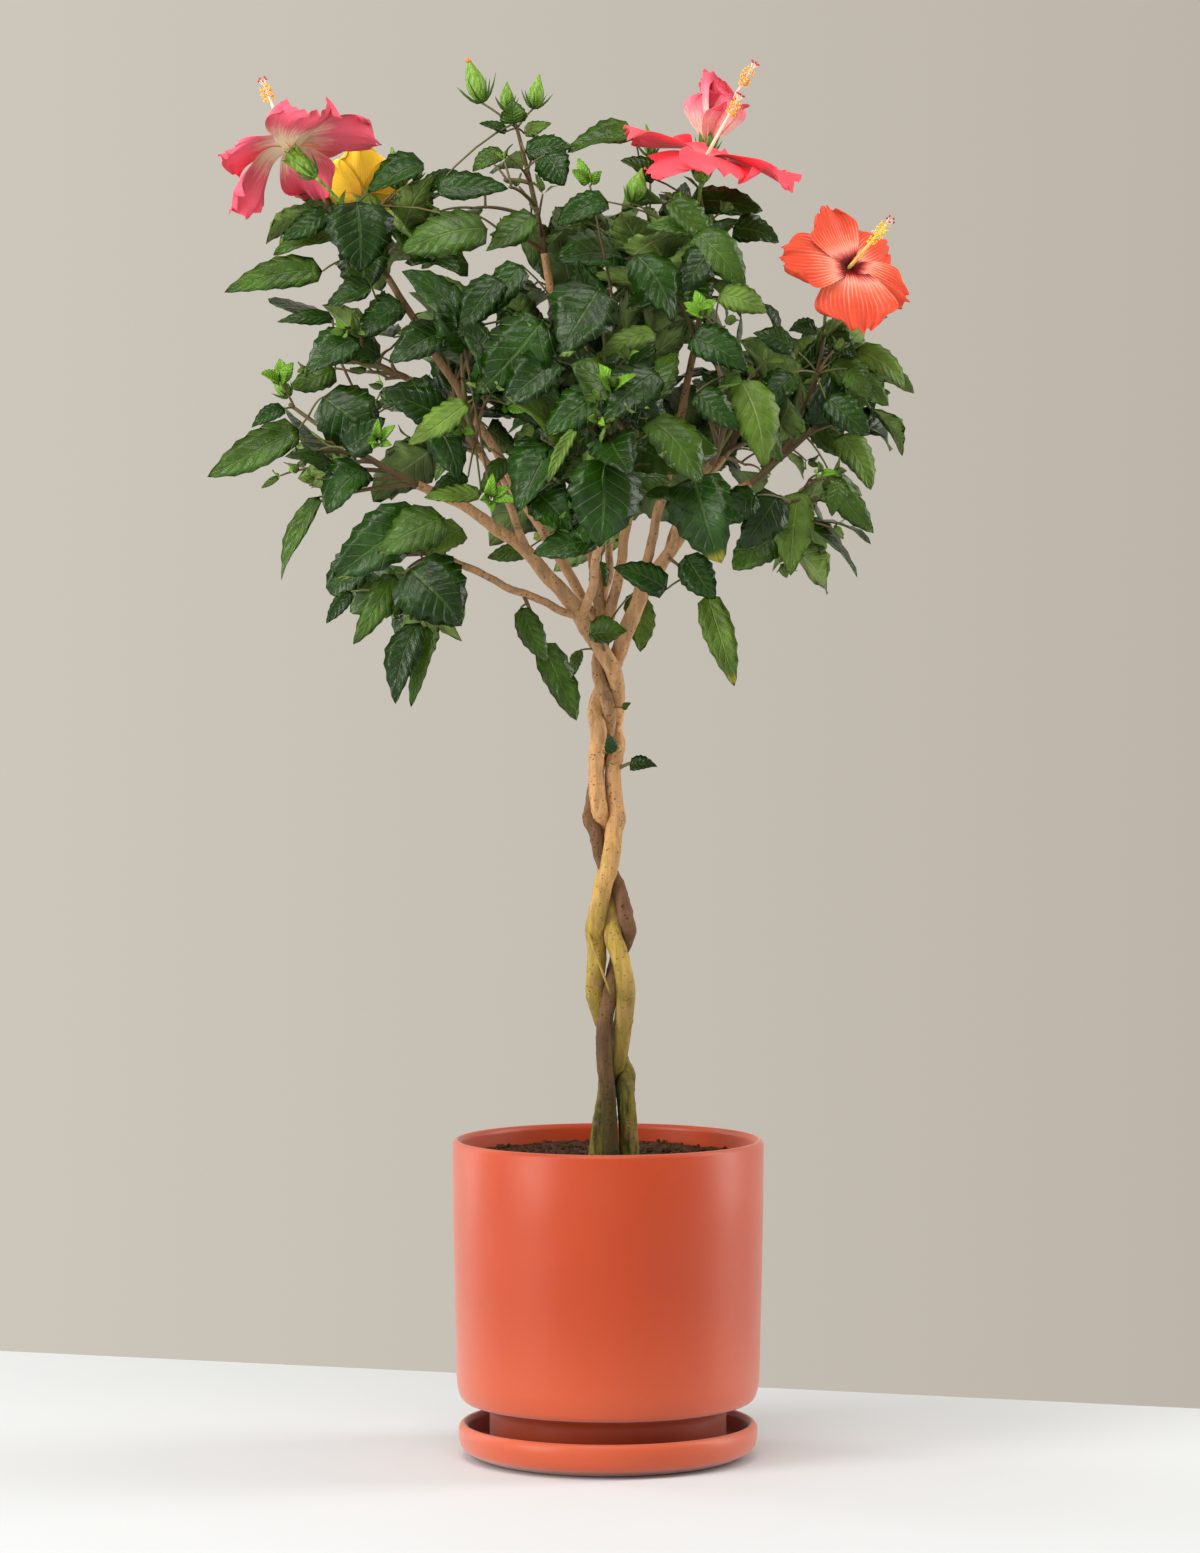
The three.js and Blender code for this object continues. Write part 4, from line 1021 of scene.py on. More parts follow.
class Joined:
    """Copies of templates, gathered and then made one mesh."""

    def __init__(self):
        self.places, self.corners, self.counts, self.slots, self.uvs = [], [], [], [], []
        self.total = 0

    def add(self, template, places, slots, uvs=None):
        self.places.append(places * MM)
        self.corners.append(template.corners + self.total)
        self.counts.append(template.counts)
        count = len(template.counts)
        self.slots.append(slots[template.part] if np.ndim(slots) else np.full(count, slots))
        flat = np.zeros((len(places), 2)) if uvs is None else uvs
        self.uvs.append(flat[template.corners])
        self.total += len(places)

    def add_tube(self, sides, line, radii, slot=0, relief=None):
        template = tube_template(sides, len(line))
        self.add(template, tube_places(template, line, radii, relief), slot)

    def build(self, name, materials, slot, *replaced):
        """The joined mesh as a piece that rides on the plant's one body."""
        mesh = bpy.data.meshes.new(name)
        places = np.concatenate(self.places)
        corners = np.concatenate(self.corners)
        counts = np.concatenate(self.counts)
        mesh.vertices.add(len(places))
        mesh.vertices.foreach_set("co", places.astype(np.float32).ravel())
        mesh.loops.add(len(corners))
        mesh.loops.foreach_set("vertex_index", corners.astype(np.int32))
        mesh.polygons.add(len(counts))
        starts = np.concatenate([[0], np.cumsum(counts)[:-1]])
        mesh.polygons.foreach_set("loop_start", starts.astype(np.int32))
        mesh.polygons.foreach_set("material_index", np.concatenate(self.slots).astype(np.int32))
        mesh.polygons.foreach_set("use_smooth", np.ones(len(counts), bool))
        layer = mesh.uv_layers.new(name="UVMap")
        layer.data.foreach_set("uv", np.concatenate(self.uvs).astype(np.float32).ravel())
        mesh.update(calc_edges=True)
        mesh.validate()
        return piece_of(mesh, materials, slot, *replaced)


def piece_of(mesh, materials, slot, *replaced):
    for material in materials:
        mesh.materials.append(material)
    piece = bpy.data.objects.new(mesh.name, mesh)
    bpy.context.scene.collection.objects.link(piece)
    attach(piece, "root")
    if replaced:
        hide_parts(*replaced)
    return piece


def mesh_of(bm, name, smooth=True):
    """A mesh from a bmesh whose doubles are merged and whose faces are turned outwards."""
    bmesh.ops.remove_doubles(bm, verts=bm.verts, dist=SAME_PLACE)
    bmesh.ops.recalc_face_normals(bm, faces=bm.faces)
    for face in bm.faces:
        face.smooth = smooth
    mesh = bpy.data.meshes.new(name)
    bm.to_mesh(mesh)
    bm.free()
    return mesh


@functools.cache
def grain_template():
    """A ball of a few faces, for crumbs and anthers."""
    bm = bmesh.new()
    bmesh.ops.create_icosphere(bm, subdivisions=1, radius=1)
    return Template(bm)


@functools.cache
def tube_template(sides, rings):
    """A closed tube. Its rest shape holds each point's turn round it and its ring."""
    bm = bmesh.new()
    bmesh.ops.create_grid(bm, x_segments=sides, y_segments=rings - 1, size=1)
    for v in bm.verts:
        turn = math.pi * v.co.x
        v.co = (math.cos(turn), math.sin(turn), (v.co.y + 1) / 2 * (rings - 1))
    bmesh.ops.remove_doubles(bm, verts=bm.verts, dist=SAME_REST_PLACE)
    bmesh.ops.holes_fill(bm, edges=bm.edges, sides=0)
    bmesh.ops.recalc_face_normals(bm, faces=bm.faces)
    template = Template(bm)
    template.ring = np.rint(template.rest[:, 2]).astype(int)
    template.turn = template.rest[:, :2].copy()
    return template


def tube_places(template, points, radii, relief):
    """A tube template's points laid along a line, with a radius at each of its rings."""
    u, v = frames_along(points)
    if len(radii) != len(points):
        radii = np.linspace(radii[0], radii[-1], len(points))
    radii = np.asarray(radii, float)
    ring, turn = template.ring, template.turn
    out = u[ring] * turn[:, :1] + v[ring] * turn[:, 1:]
    places = points[ring] + out * radii[ring][:, None]
    if relief is not None:
        places = places + out * relief(places, radii[ring])[:, None]
    return places


LEAF_ROWS = 12


@functools.cache
def leaf_template():
    """A flat leaf: x across from -1 to 1, y from base to tip and z under it. The blade has
    four columns above and two coarser ones below, which share its margin."""
    bm = bmesh.new()
    bmesh.ops.create_grid(bm, x_segments=4, y_segments=LEAF_ROWS, size=1)
    under = set(bmesh.ops.create_grid(bm, x_segments=2, y_segments=LEAF_ROWS, size=1)["verts"])
    faces = [f for f in bm.faces if f.verts[0] in under]
    for face in faces:
        face.material_index = 1
    bmesh.ops.reverse_faces(bm, faces=faces)
    rungs = [
        e for e in bm.edges
        if e.verts[0] in under
        and abs(e.verts[0].co.y - e.verts[1].co.y) < SAME_REST_PLACE
        and round((e.verts[0].co.y + 1) / 2 * LEAF_ROWS) % 2 == 1
    ]
    for v in under:
        if abs(v.co.x) < 0.5 and abs(v.co.y) < 0.99:
            v.co.z = -1
    bmesh.ops.dissolve_edges(bm, edges=rungs, use_verts=False)
    for v in bm.verts:
        if abs(v.co.y) > 0.99:
            v.co.x = 0
    bmesh.ops.remove_doubles(bm, verts=bm.verts, dist=SAME_REST_PLACE)
    bmesh.ops.translate(bm, verts=bm.verts, vec=(0, 1, 0))
    bmesh.ops.scale(bm, verts=bm.verts, vec=(1, 0.5, 1))
    return Template(bm)


def leaf_places(base, tip, facing, width, dice):
    """A blade from base to tip: oval and pointed, toothed, arched, folded and wavy."""
    rest = leaf_template().rest
    across, along_share, layer = rest[:, 0], rest[:, 1], rest[:, 2]
    row = np.rint(along_share * LEAF_ROWS).astype(int)
    length_mm = norm(tip - base)
    along = (tip - base) / length_mm
    side = unit(np.cross(along, facing))
    up = np.cross(side, along)

    blunt = dice.uniform(0.42, 0.56)
    pointed = dice.uniform(0.86, 1.0)
    peak = blunt / (blunt + pointed)
    outline = along_share**blunt * (1 - along_share) ** pointed
    outline = outline / (peak**blunt * (1 - peak) ** pointed)
    share = np.abs(across)
    margin, odd = share > 0.9, row % 2 == 1
    notch = margin & ~odd & (along_share > 0.12)
    tooth = margin & odd
    x = across * width / 2 * outline * np.where(notch, 0.9, 1.0)
    lobed = -0.05 * length_mm * share * np.clip(1 - along_share * 5, 0, 1)
    y = along_share * length_mm + np.where(tooth, 0.012 * length_mm, 0) + lobed

    fold = dice.uniform(-0.1, 0.5)
    bow = 4 * along_share * (1 - along_share)
    arch = dice.uniform(0.03, 0.17) * length_mm
    wave = dice.uniform(0.02, 0.08) * width
    dome = dice.uniform(0.2, 1.0) * 0.05 * width
    phase = dice.uniform(0, FULL_TURN)
    z = np.abs(x) * fold + arch * bow
    quilt = np.where(odd, 1.0, -1.0) * share
    z = z + quilt * 0.007 * length_mm * (1 - along_share)
    z = z + wave * np.sin(along_share * 9 + phase + np.sign(across) * 1.3) * share
    z = z + dome * 4 * share * (1 - share) * outline
    twist = dice.uniform(-0.45, 0.45) * (along_share - 0.3)
    x, z = x * np.cos(twist) - z * np.sin(twist), x * np.sin(twist) + z * np.cos(twist)
    x = x + dice.uniform(-0.06, 0.06) * length_mm * bow
    z = z + layer * plant_sizes().leaf_thickness / MM
    return base + np.outer(x, side) + np.outer(y, along) + np.outer(z, up)


# Finishes.


def shade(rgb, k):
    return tuple(min(1.0, c * k) for c in rgb[:3])


def rgba(rgb):
    return (*rgb[:3], 1.0)


def between(a, b, t):
    return tuple(x * (1 - t) + y * t for x, y in zip(a[:3], b[:3]))


class Nodes:
    """The nodes of a material or a world, with short calls that make them."""

    def __init__(self, owner):
        owner.use_nodes = True
        self.nodes = owner.node_tree.nodes
        self.links = owner.node_tree.links

    def node(self, kind, inputs=None, **settings):
        made = self.nodes.new("ShaderNode" + kind)
        for key, value in settings.items():
            setattr(made, key, value)
        for key, value in (inputs or {}).items():
            self.feed(made.inputs[key], value)
        return made

    def feed(self, socket, value):
        if isinstance(value, bpy.types.NodeSocket):
            self.links.new(value, socket)
        else:
            socket.default_value = value

    def ramp(self, value, *stops):
        made = self.node("ValToRGB", {"Fac": value})
        band = made.color_ramp
        while len(band.elements) < len(stops):
            band.elements.new(0.5)
        for element, (at, rgb) in zip(band.elements, stops):
            element.position = at
            element.color = rgba(rgb)
        return made.outputs["Color"]


SOCKETS = {"rough": "Roughness", "shine": "Specular IOR Level", "sheen": "Sheen Weight"}


class Finish(Nodes):
    """One material."""

    # Where a colour mix has its share and its two colours, and its result.
    mix_inputs = (0, 6, 7)
    mix_result = 2

    def __init__(self, name, **shader):
        self.material = bpy.data.materials.new(name)
        super().__init__(self.material)
        self.shader = self.nodes["Principled BSDF"]
        for key, value in shader.items():
            self.shader.inputs[SOCKETS[key]].default_value = value
        self.object_place = self.node("TexCoord").outputs["Object"]

    def calc(self, kind, a, b=0.0, clamp=False):
        return self.node("Math", {0: a, 1: b}, operation=kind, use_clamp=clamp).outputs[0]

    def plus(self, a, b):
        return self.calc("ADD", a, b)

    def minus(self, a, b):
        return self.calc("SUBTRACT", a, b)

    def times(self, a, b):
        return self.calc("MULTIPLY", a, b)

    def stretched(self, scale, place=None):
        inputs = {"Vector": place or self.object_place, "Scale": scale}
        return self.node("Mapping", inputs).outputs["Vector"]

    def scaled(self, scale, place=None):
        """The inputs of a texture on Object coordinates or a given map. The scale is one
        number, or three."""
        if np.isscalar(scale):
            return {"Vector": self.object_place, "Scale": scale}
        return {"Vector": self.stretched(scale, place), "Scale": 1.0}

    def noise(self, scale, detail=3.0, roughness=0.55, place=None):
        inputs = {**self.scaled(scale, place), "Detail": detail, "Roughness": roughness}
        return self.node("TexNoise", inputs).outputs["Fac"]

    def cells(self, scale):
        return self.node("TexVoronoi", self.scaled(scale)).outputs["Distance"]

    def axis(self, name, place=None):
        inputs = {"Vector": place or self.object_place}
        return self.node("SeparateXYZ", inputs).outputs[name]

    def ragged_height(self, scale, detail=3.0):
        """The height, made uneven so that no colour ends in a straight line."""
        return self.plus(self.axis("Z"), self.times(self.noise(scale, detail), 0.1))

    def stripes(self, value, count):
        """How far a place is from the middle of its stripe, out of this many stripes."""
        share = self.calc("FRACT", self.times(value, count))
        return self.calc("ABSOLUTE", self.minus(share, 0.5))

    def span(self, value, low, high, to_low=0.0, to_high=1.0):
        inputs = {"Value": value, "From Min": low, "From Max": high,
                  "To Min": to_low, "To Max": to_high}
        return self.node("MapRange", inputs, interpolation_type="SMOOTHSTEP").outputs["Result"]

    def blend(self, share, a, b, mode="MIX"):
        a, b = (c if isinstance(c, bpy.types.NodeSocket) else rgba(c) for c in (a, b))
        made = self.node("Mix", data_type="RGBA", blend_type=mode)
        for socket, value in zip(self.mix_inputs, (share, a, b)):
            self.feed(made.inputs[socket], value)
        return made.outputs[self.mix_result]

    def dimmed(self, base, share):
        """A colour multiplied by a number."""
        grey = self.node("CombineColor", {0: share, 1: share, 2: share}).outputs[0]
        return self.blend(1.0, base, grey, "MULTIPLY")

    def coat(self, colour_out):
        self.feed(self.shader.inputs["Base Color"], colour_out)

    def dull(self, roughness_out):
        self.feed(self.shader.inputs["Roughness"], roughness_out)

    def bump(self, height, distance, strength=1.0):
        inputs = {"Height": height, "Distance": distance, "Strength": strength}
        self.feed(self.shader.inputs["Normal"], self.node("Bump", inputs).outputs["Normal"])


@functools.cache
def clay_finish():
    """Orange glaze, paler low down by painted light from the floor, and darker by painted shade in the
    gap round the pot's foot.
    """
    f = Finish("terracotta_glaze", shine=0.34, sheen=0.34)
    clay = colours().clay
    cloud = f.span(f.noise(5.0, 4.0), 0.3, 0.7)
    base = f.blend(cloud, shade(clay, 0.95), shade(clay, 1.05))
    height = f.axis("Z")
    # painted light: the clay turns paler low down, where light from the pale floor falls on it
    base = f.blend(f.span(height, 0.16, 0.02), base, srgb(192, 80, 43))
    # painted shade: the clay is darker in the gap round the pot's foot and inside the saucer, under the
    # pot's overhang
    level = f.stretched((1.0, 1.0, 0.0))
    radius = f.node("VectorMath", {0: level}, operation="LENGTH").outputs["Value"]
    painted_gap_shade = f.times(f.span(radius, 0.121, 0.113), f.span(height, 0.06, 0.04))
    base = f.blend(painted_gap_shade, base, shade(clay, 0.62))
    speck = f.span(f.noise(520.0, 2.0), 0.62, 0.72)
    f.coat(f.blend(f.times(speck, 0.16), base, shade(clay, 0.7)))
    f.dull(f.span(f.noise(38.0, 3.0), 0.3, 0.7, 0.36, 0.42))
    f.bump(f.plus(f.noise(190.0, 4.0), f.times(f.noise(14.0), 2.0)), 0.00022, 0.5)
    return f.material


def mottled(name, spots, stops, grain, depth, strength, **shader):
    """A surface with colours dealt out by noise, and with fine relief."""
    f = Finish(name, **shader)
    f.coat(f.ramp(f.noise(*spots), *stops))
    f.bump(f.noise(*grain), depth, strength)
    return f.material


@functools.cache
def soil_finish():
    f = Finish("potting_soil", rough=0.95, shine=0.2)
    soil = colours().soil
    grain = f.noise(240.0, 6.0, 0.7)
    base = f.ramp(grain, (0.3, shade(soil, 0.35)), (0.5, shade(soil, 0.8)), (0.68, shade(soil, 1.7)))
    fleck = f.span(f.cells(330.0), 0.1, 0.04)
    f.coat(f.blend(fleck, base, srgb(126, 98, 66)))
    f.bump(f.noise(420.0, 5.0), 0.002, 0.8)
    return f.material


def bark_nodes(f, base, spot, grain=1.0):
    """Long grain, dark pores and fine scars over a base colour, as colour and as relief."""
    long_grain = f.noise((230.0, 230.0, 30.0), 5.0, 0.65)
    coloured = f.dimmed(base, f.span(long_grain, 0.25, 0.75, 1 - 0.3 * grain, 1 + 0.16 * grain))
    blotch = f.span(f.noise(46.0, 3.0), 0.5, 0.72, 0.0, 0.55)
    coloured = f.blend(blotch, coloured, spot)
    pores = f.span(f.cells((260.0, 260.0, 340.0)), 0.3, 0.16)
    pores = f.times(pores, f.span(f.noise(90.0), 0.42, 0.55))
    f.coat(f.blend(f.times(pores, 0.8), coloured, shade(spot, 0.4)))
    relief = f.plus(long_grain, f.times(f.noise(520.0, 3.0), 0.35))
    f.bump(f.minus(relief, f.times(pores, 0.5)), 0.0011, 0.85)


@functools.cache
def stem_finish():
    """Tan bark above, yellow-green algae lower down and moss at the foot."""
    f = Finish("stem_bark", rough=0.75, shine=0.3)
    c = colours()
    height = f.ragged_height(26.0, 4.0)
    base = f.ramp(
        f.span(height, 0.30, 0.76),
        (0.03, c.moss), (0.11, between(c.moss, c.low_bark, 0.35)), (0.28, c.low_bark),
        (0.5, shade(between(c.low_bark, c.bark, 0.5), 0.94)), (0.68, shade(c.bark, 0.95)),
        (0.86, shade(between(c.bark, c.bough, 0.3), 1.12)), (1.0, shade(c.bough, 1.12)),
    )
    patch = f.span(f.noise((95.0, 95.0, 14.0), 5.0, 0.65), 0.4, 0.56)
    patch = f.times(f.span(height, 0.57, 0.36, 0.0, 0.85), patch)
    base = f.blend(patch, base, between(c.moss, c.low_bark, 0.5))
    warm = f.times(f.span(height, 0.36, 0.46, 0.0, 0.55), f.span(f.noise(50.0, 4.0), 0.42, 0.7))
    base = f.blend(warm, base, between(c.bark, c.bough, 0.25))
    bark_nodes(f, base, shade(c.bough, 0.8), 1.3)
    return f.material


@functools.cache
def dark_stem_finish():
    f = Finish("dark_stem_bark", rough=0.85, shine=0.2)
    c = colours()
    base = f.ramp(
        f.span(f.ragged_height(22.0, 4.0), 0.30, 0.85),
        (0.0, between(c.moss, c.dark_bark, 0.15)), (0.05, between(c.moss, c.dark_bark, 0.7)),
        (0.2, c.dark_bark), (0.6, shade(c.dark_bark, 1.15)),
        (0.7, between(c.dark_bark, c.bough, 0.9)), (1.0, shade(c.bough, 0.97)),
    )
    bark_nodes(f, base, shade(c.dark_bark, 0.55), 1.3)
    return f.material


@functools.cache
def bough_finish():
    f = Finish("bough_bark", rough=0.75, shine=0.3)
    c = colours()
    # darker higher up: the young wood's own reddish tone at the ends, and painted shade where the boughs
    # run into the crown
    base = f.ramp(
        f.span(f.ragged_height(16.0), 0.74, 0.98),
        (0.0, shade(c.bough, 1.14)), (0.45, shade(c.bough, 0.92)),
        (1.0, between(c.twig, c.bough, 0.4)),
    )
    bark_nodes(f, base, shade(c.twig, 0.8))
    return f.material


@functools.cache
def twig_finish():
    c = colours()
    stops = (0.35, shade(c.twig, 0.75)), (0.5, c.twig), (0.68, c.stalk)
    grain = (700.0, 700.0, 160.0), 3.0
    return mottled("young_wood", (34.0, 3.0), stops, grain, 0.0004, 0.6, rough=0.6, shine=0.35)


@functools.cache
def stalk_finish():
    c = colours()
    stops = (0.38, between(c.stalk, c.twig, 0.6)), (0.62, c.stalk)
    return mottled("leaf_stalk", (26.0, 2.0), stops, (900.0,), 0.0002, 0.5, rough=0.5, shine=0.4)


SIDE_VEINS = 7.0
PETAL_VEINS = 17.0


def leaf_finish(name, rgb, vein, rough, vein_share, puff):
    """A blade: a midrib and side veins from the leaf's own map, and blotches between them."""
    f = Finish(name, shine=0.3)
    uv = f.node("TexCoord").outputs["UV"]
    across = f.times(f.calc("ABSOLUTE", f.minus(f.axis("X", uv), 0.5)), 2.0)
    along = f.axis("Y", uv)
    slant = f.times(f.calc("POWER", across, 0.8), 0.26)
    middle = f.stripes(f.minus(along, slant), SIDE_VEINS)
    side_vein = f.span(middle, 0.09, 0.02)
    midrib = f.span(across, 0.075, 0.02)
    veins = f.calc("MAXIMUM", midrib, f.times(side_vein, 0.75))
    cloud = f.span(f.noise(55.0, 4.0), 0.3, 0.7)
    base = f.blend(cloud, shade(rgb, 0.7), shade(rgb, 1.32))
    base = f.dimmed(base, f.span(f.cells(900.0), 0.0, 0.5, 0.9, 1.06))
    base = f.blend(f.times(veins, vein_share), base, vein)
    aged = f.times(f.span(along, 0.84, 1.0), f.span(f.noise(9.0, 0.0), 0.74, 0.78))
    f.coat(f.blend(aged, base, srgb(184, 178, 52)))
    f.dull(f.span(f.noise(70.0, 3.0), 0.3, 0.7, rough - 0.05, rough + 0.09))
    swell = f.minus(0.5, middle)
    height = f.minus(f.times(swell, puff * -1.0), f.times(veins, puff))
    height = f.plus(height, f.times(f.noise(190.0, 4.0, 0.6), 1.1))
    f.bump(height, 0.0012, 0.85)
    return f.material


def leaf_finishes():
    c = colours()
    leaf, light, lime = c.leaf, c.light_leaf, c.lime_leaf
    vein = srgb(112, 138, 70)
    return [
        leaf_finish("leaf_deep", shade(leaf, 0.6), vein, 0.15, 0.15, 0.6),
        leaf_finish("leaf_dark", shade(leaf, 0.9), vein, 0.17, 0.18, 0.6),
        leaf_finish("leaf_mid", between(leaf, light, 0.28), vein, 0.22, 0.22, 0.65),
        leaf_finish("leaf_light", between(leaf, light, 0.8), srgb(150, 170, 100), 0.42, 0.4, 0.9),
        leaf_finish("leaf_lime", tuple(lime), srgb(150, 176, 84), 0.45, 0.4, 0.8),
        leaf_finish("leaf_under", tuple(c.under), srgb(158, 172, 112), 0.58, 0.6, 0.8),
        leaf_finish("leaf_under_shaded", shade(c.under, 0.5), srgb(120, 136, 84), 0.6, 0.4, 0.8),
    ]


@functools.cache
def bud_finish():
    lime = colours().lime_leaf
    stops = (0.3, shade(lime, 0.5)), (0.5, shade(lime, 0.85)), (0.7, srgb(158, 178, 88))
    streak = (620.0, 620.0, 60.0), 3.0
    return mottled("bud_green", streak, stops, streak, 0.0008, 0.7, rough=0.5, shine=0.4)


def petal_finish(name, stops, vein, vein_share, streaked):
    """A petal: colour from base to edge by its own map, with streaks and veins that fan out."""
    f = Finish(name, rough=0.5, shine=0.14)
    uv = f.node("TexCoord").outputs["UV"]
    across, along = f.axis("X", uv), f.axis("Y", uv)
    sway = f.noise(30.0, 2.0)
    place = f.node("CombineXYZ", {"X": across, "Y": along, "Z": sway}).outputs["Vector"]
    streak = f.noise((13.0, 1.1, 5.0), 4.0, 0.6, place)
    shift = f.times(f.minus(streak, 0.5), streaked * 2)
    base = f.ramp(f.calc("ADD", along, shift, True), *stops)
    line = f.span(f.stripes(f.plus(across, f.times(sway, 0.08)), PETAL_VEINS), 0.26, 0.04)
    fade = f.span(along, 0.8, 0.25, 0.08, 1.0)
    broken = f.span(f.noise((9.0, 3.0, 7.0), 2.0, 0.5, place), 0.3, 0.62, 0.15, 1.0)
    line = f.times(f.times(line, broken), fade)
    line = f.times(line, f.span(along, 0.14, 0.28))
    f.coat(f.blend(f.times(line, vein_share), base, vein))
    height = f.plus(f.times(line, -0.5), f.times(streak, 1.2))
    f.bump(height, 0.0009, 0.8)
    return f.material


def plain_bloom_finish(name, low, high, scale, rough=0.5):
    """A soft surface between two colours."""
    grain = scale * 3, 3.0
    stops = (0.35, low), (0.65, high)
    return mottled(name, (scale, 3.0), stops, grain, 0.0005, 0.6, rough=rough, shine=0.35)


def bract_finish():
    c = colours()
    return plain_bloom_finish("bract_green", shade(c.leaf, 1.6), shade(c.light_leaf, 0.8), 200.0)


PETAL_HUES = ("orange", "coral", "pink", "yellow")


def petal_of(name):
    """A bloom's petal: its colours from base to edge, its veins' colour and strength, streaks."""
    orange, coral, pink, yellow = (getattr(colours(), n + "_petal") for n in PETAL_HUES)
    stops, vein, vein_share, streaked = {
        "orange": (
            ((0.0, srgb(44, 0, 4)), (0.17, srgb(112, 0, 10)), (0.22, srgb(200, 60, 58)),
             (0.3, srgb(246, 152, 132)), (0.44, srgb(236, 104, 74)), (0.62, orange),
             (0.97, orange), (1.0, shade(orange, 0.85))),
            srgb(254, 196, 172), 0.85, 0.08,
        ),
        "coral": (
            ((0.0, srgb(170, 40, 60)), (0.2, srgb(236, 120, 130)), (0.4, coral),
             (1.0, shade(coral, 1.05))),
            srgb(206, 50, 72), 0.25, 0.12,
        ),
        "rose": (
            ((0.0, srgb(250, 206, 190)), (0.4, srgb(252, 196, 190)), (0.62, srgb(240, 138, 152)),
             (0.84, pink), (1.0, shade(pink, 0.75))),
            srgb(196, 50, 84), 0.3, 0.26,
        ),
        "yellow": (
            ((0.0, srgb(190, 120, 40)), (0.3, yellow), (1.0, shade(yellow, 1.1))),
            srgb(214, 140, 40), 0.3, 0.15,
        ),
        "pink": (
            ((0.0, srgb(252, 228, 184)), (0.22, srgb(254, 218, 190)), (0.38, srgb(250, 166, 156)),
             (0.54, srgb(240, 104, 122)), (0.82, shade(pink, 1.12)), (1.0, shade(pink, 0.85))),
            srgb(212, 66, 96), 0.28, 0.3,
        ),
    }[name]
    return petal_finish(name + "_petal", stops, vein, vein_share, streaked)


# The pot, its saucer and the soil.


def rounded(profile, radius, steps=6):
    """A profile with its inner corners rounded."""
    out = [vec(profile[0])]
    for before, corner, after in zip(profile, profile[1:], profile[2:]):
        before, corner, after = vec(before), vec(corner), vec(after)
        into, on = before - corner, after - corner
        cut = min(radius, 0.45 * norm(into), 0.45 * norm(on))
        out.extend(bend_points(corner + unit(into) * cut, corner, corner + unit(on) * cut, steps))
    out.append(vec(profile[-1]))
    return out


def spun(profile, segments):
    """A bmesh turned from a profile of radius and height that starts and ends on the axis."""
    bm = bmesh.new()
    verts = [bm.verts.new((radius, 0, height)) for radius, height in profile]
    edges = [bm.edges.new(pair) for pair in zip(verts, verts[1:])]
    bmesh.ops.spin(
        bm, geom=verts + edges, cent=(0, 0, 0), axis=(0, 0, 1), angle=FULL_TURN,
        steps=segments, use_merge=True,
    )
    return bm


def vessel(name, outside, inside, corners, rim_rise, segments):
    """A turned vessel: up its outside, over a domed rim and down its inside. The corners are
    the radii that round the two profiles."""
    outer = outside[-1]
    inner = (inside[0][0], outer[1])
    crest = ((outer[0] + inner[0]) / 2, outer[1] + rim_rise)
    rim = bend_points(outer, crest, inner, 10)
    profile = [*rounded(outside, corners[0]), *rim, *rounded(inside, corners[1])]
    return mesh_of(spun(profile, segments), name)


class HIBISCUS_OT_make_pot(bpy.types.Operator):
    """Turns the pot and its saucer from their profiles"""

    bl_idname = "hibiscus.make_pot"
    bl_label = "Pot and saucer"

    pot_floor = 0.022
    saucer_floor = 0.007

    def execute(self, context):
        s = context.scene.hibiscus_pot
        foot, body, edge = POT_LOW.z, s.body_foot, POT_HIGH.z - 0.004
        inner = s.foot_radius - s.wall
        pot = vessel(
            "pot_body",
            [(0, foot), (s.foot_radius, foot), (s.foot_radius, body),
             (s.low_radius - 0.004, body + 0.0015), (s.low_radius, body + 0.015),
             (s.rim_radius - 0.0004, 0.2), (s.rim_radius, edge)],
            [(s.rim_radius - s.wall, edge - 0.001), (s.low_radius - s.wall, body + 0.018),
             (inner, body + 0.006), (inner, self.pot_floor), (0, self.pot_floor)],
            (0.009, 0.006), 0.0075, s.segments,
        )
        piece_of(pot, [clay_finish()], "pot_clay", "pot")

        radius, base, edge = s.saucer_radius, SAUCER_LOW.z, SAUCER_HIGH.z - 0.005
        inner = radius - s.saucer_wall
        saucer = vessel(
            "saucer_dish",
            [(0, base), (radius - 0.018, base), (radius - 0.002, base + 0.008),
             (radius, base + 0.018), (radius, edge)],
            [(inner, edge - 0.001), (inner, self.saucer_floor), (0, self.saucer_floor)],
            (0.011, 0.006), 0.009, s.segments,
        )
        piece_of(saucer, [clay_finish()], "pot_clay", "saucer")
        return {"FINISHED"}


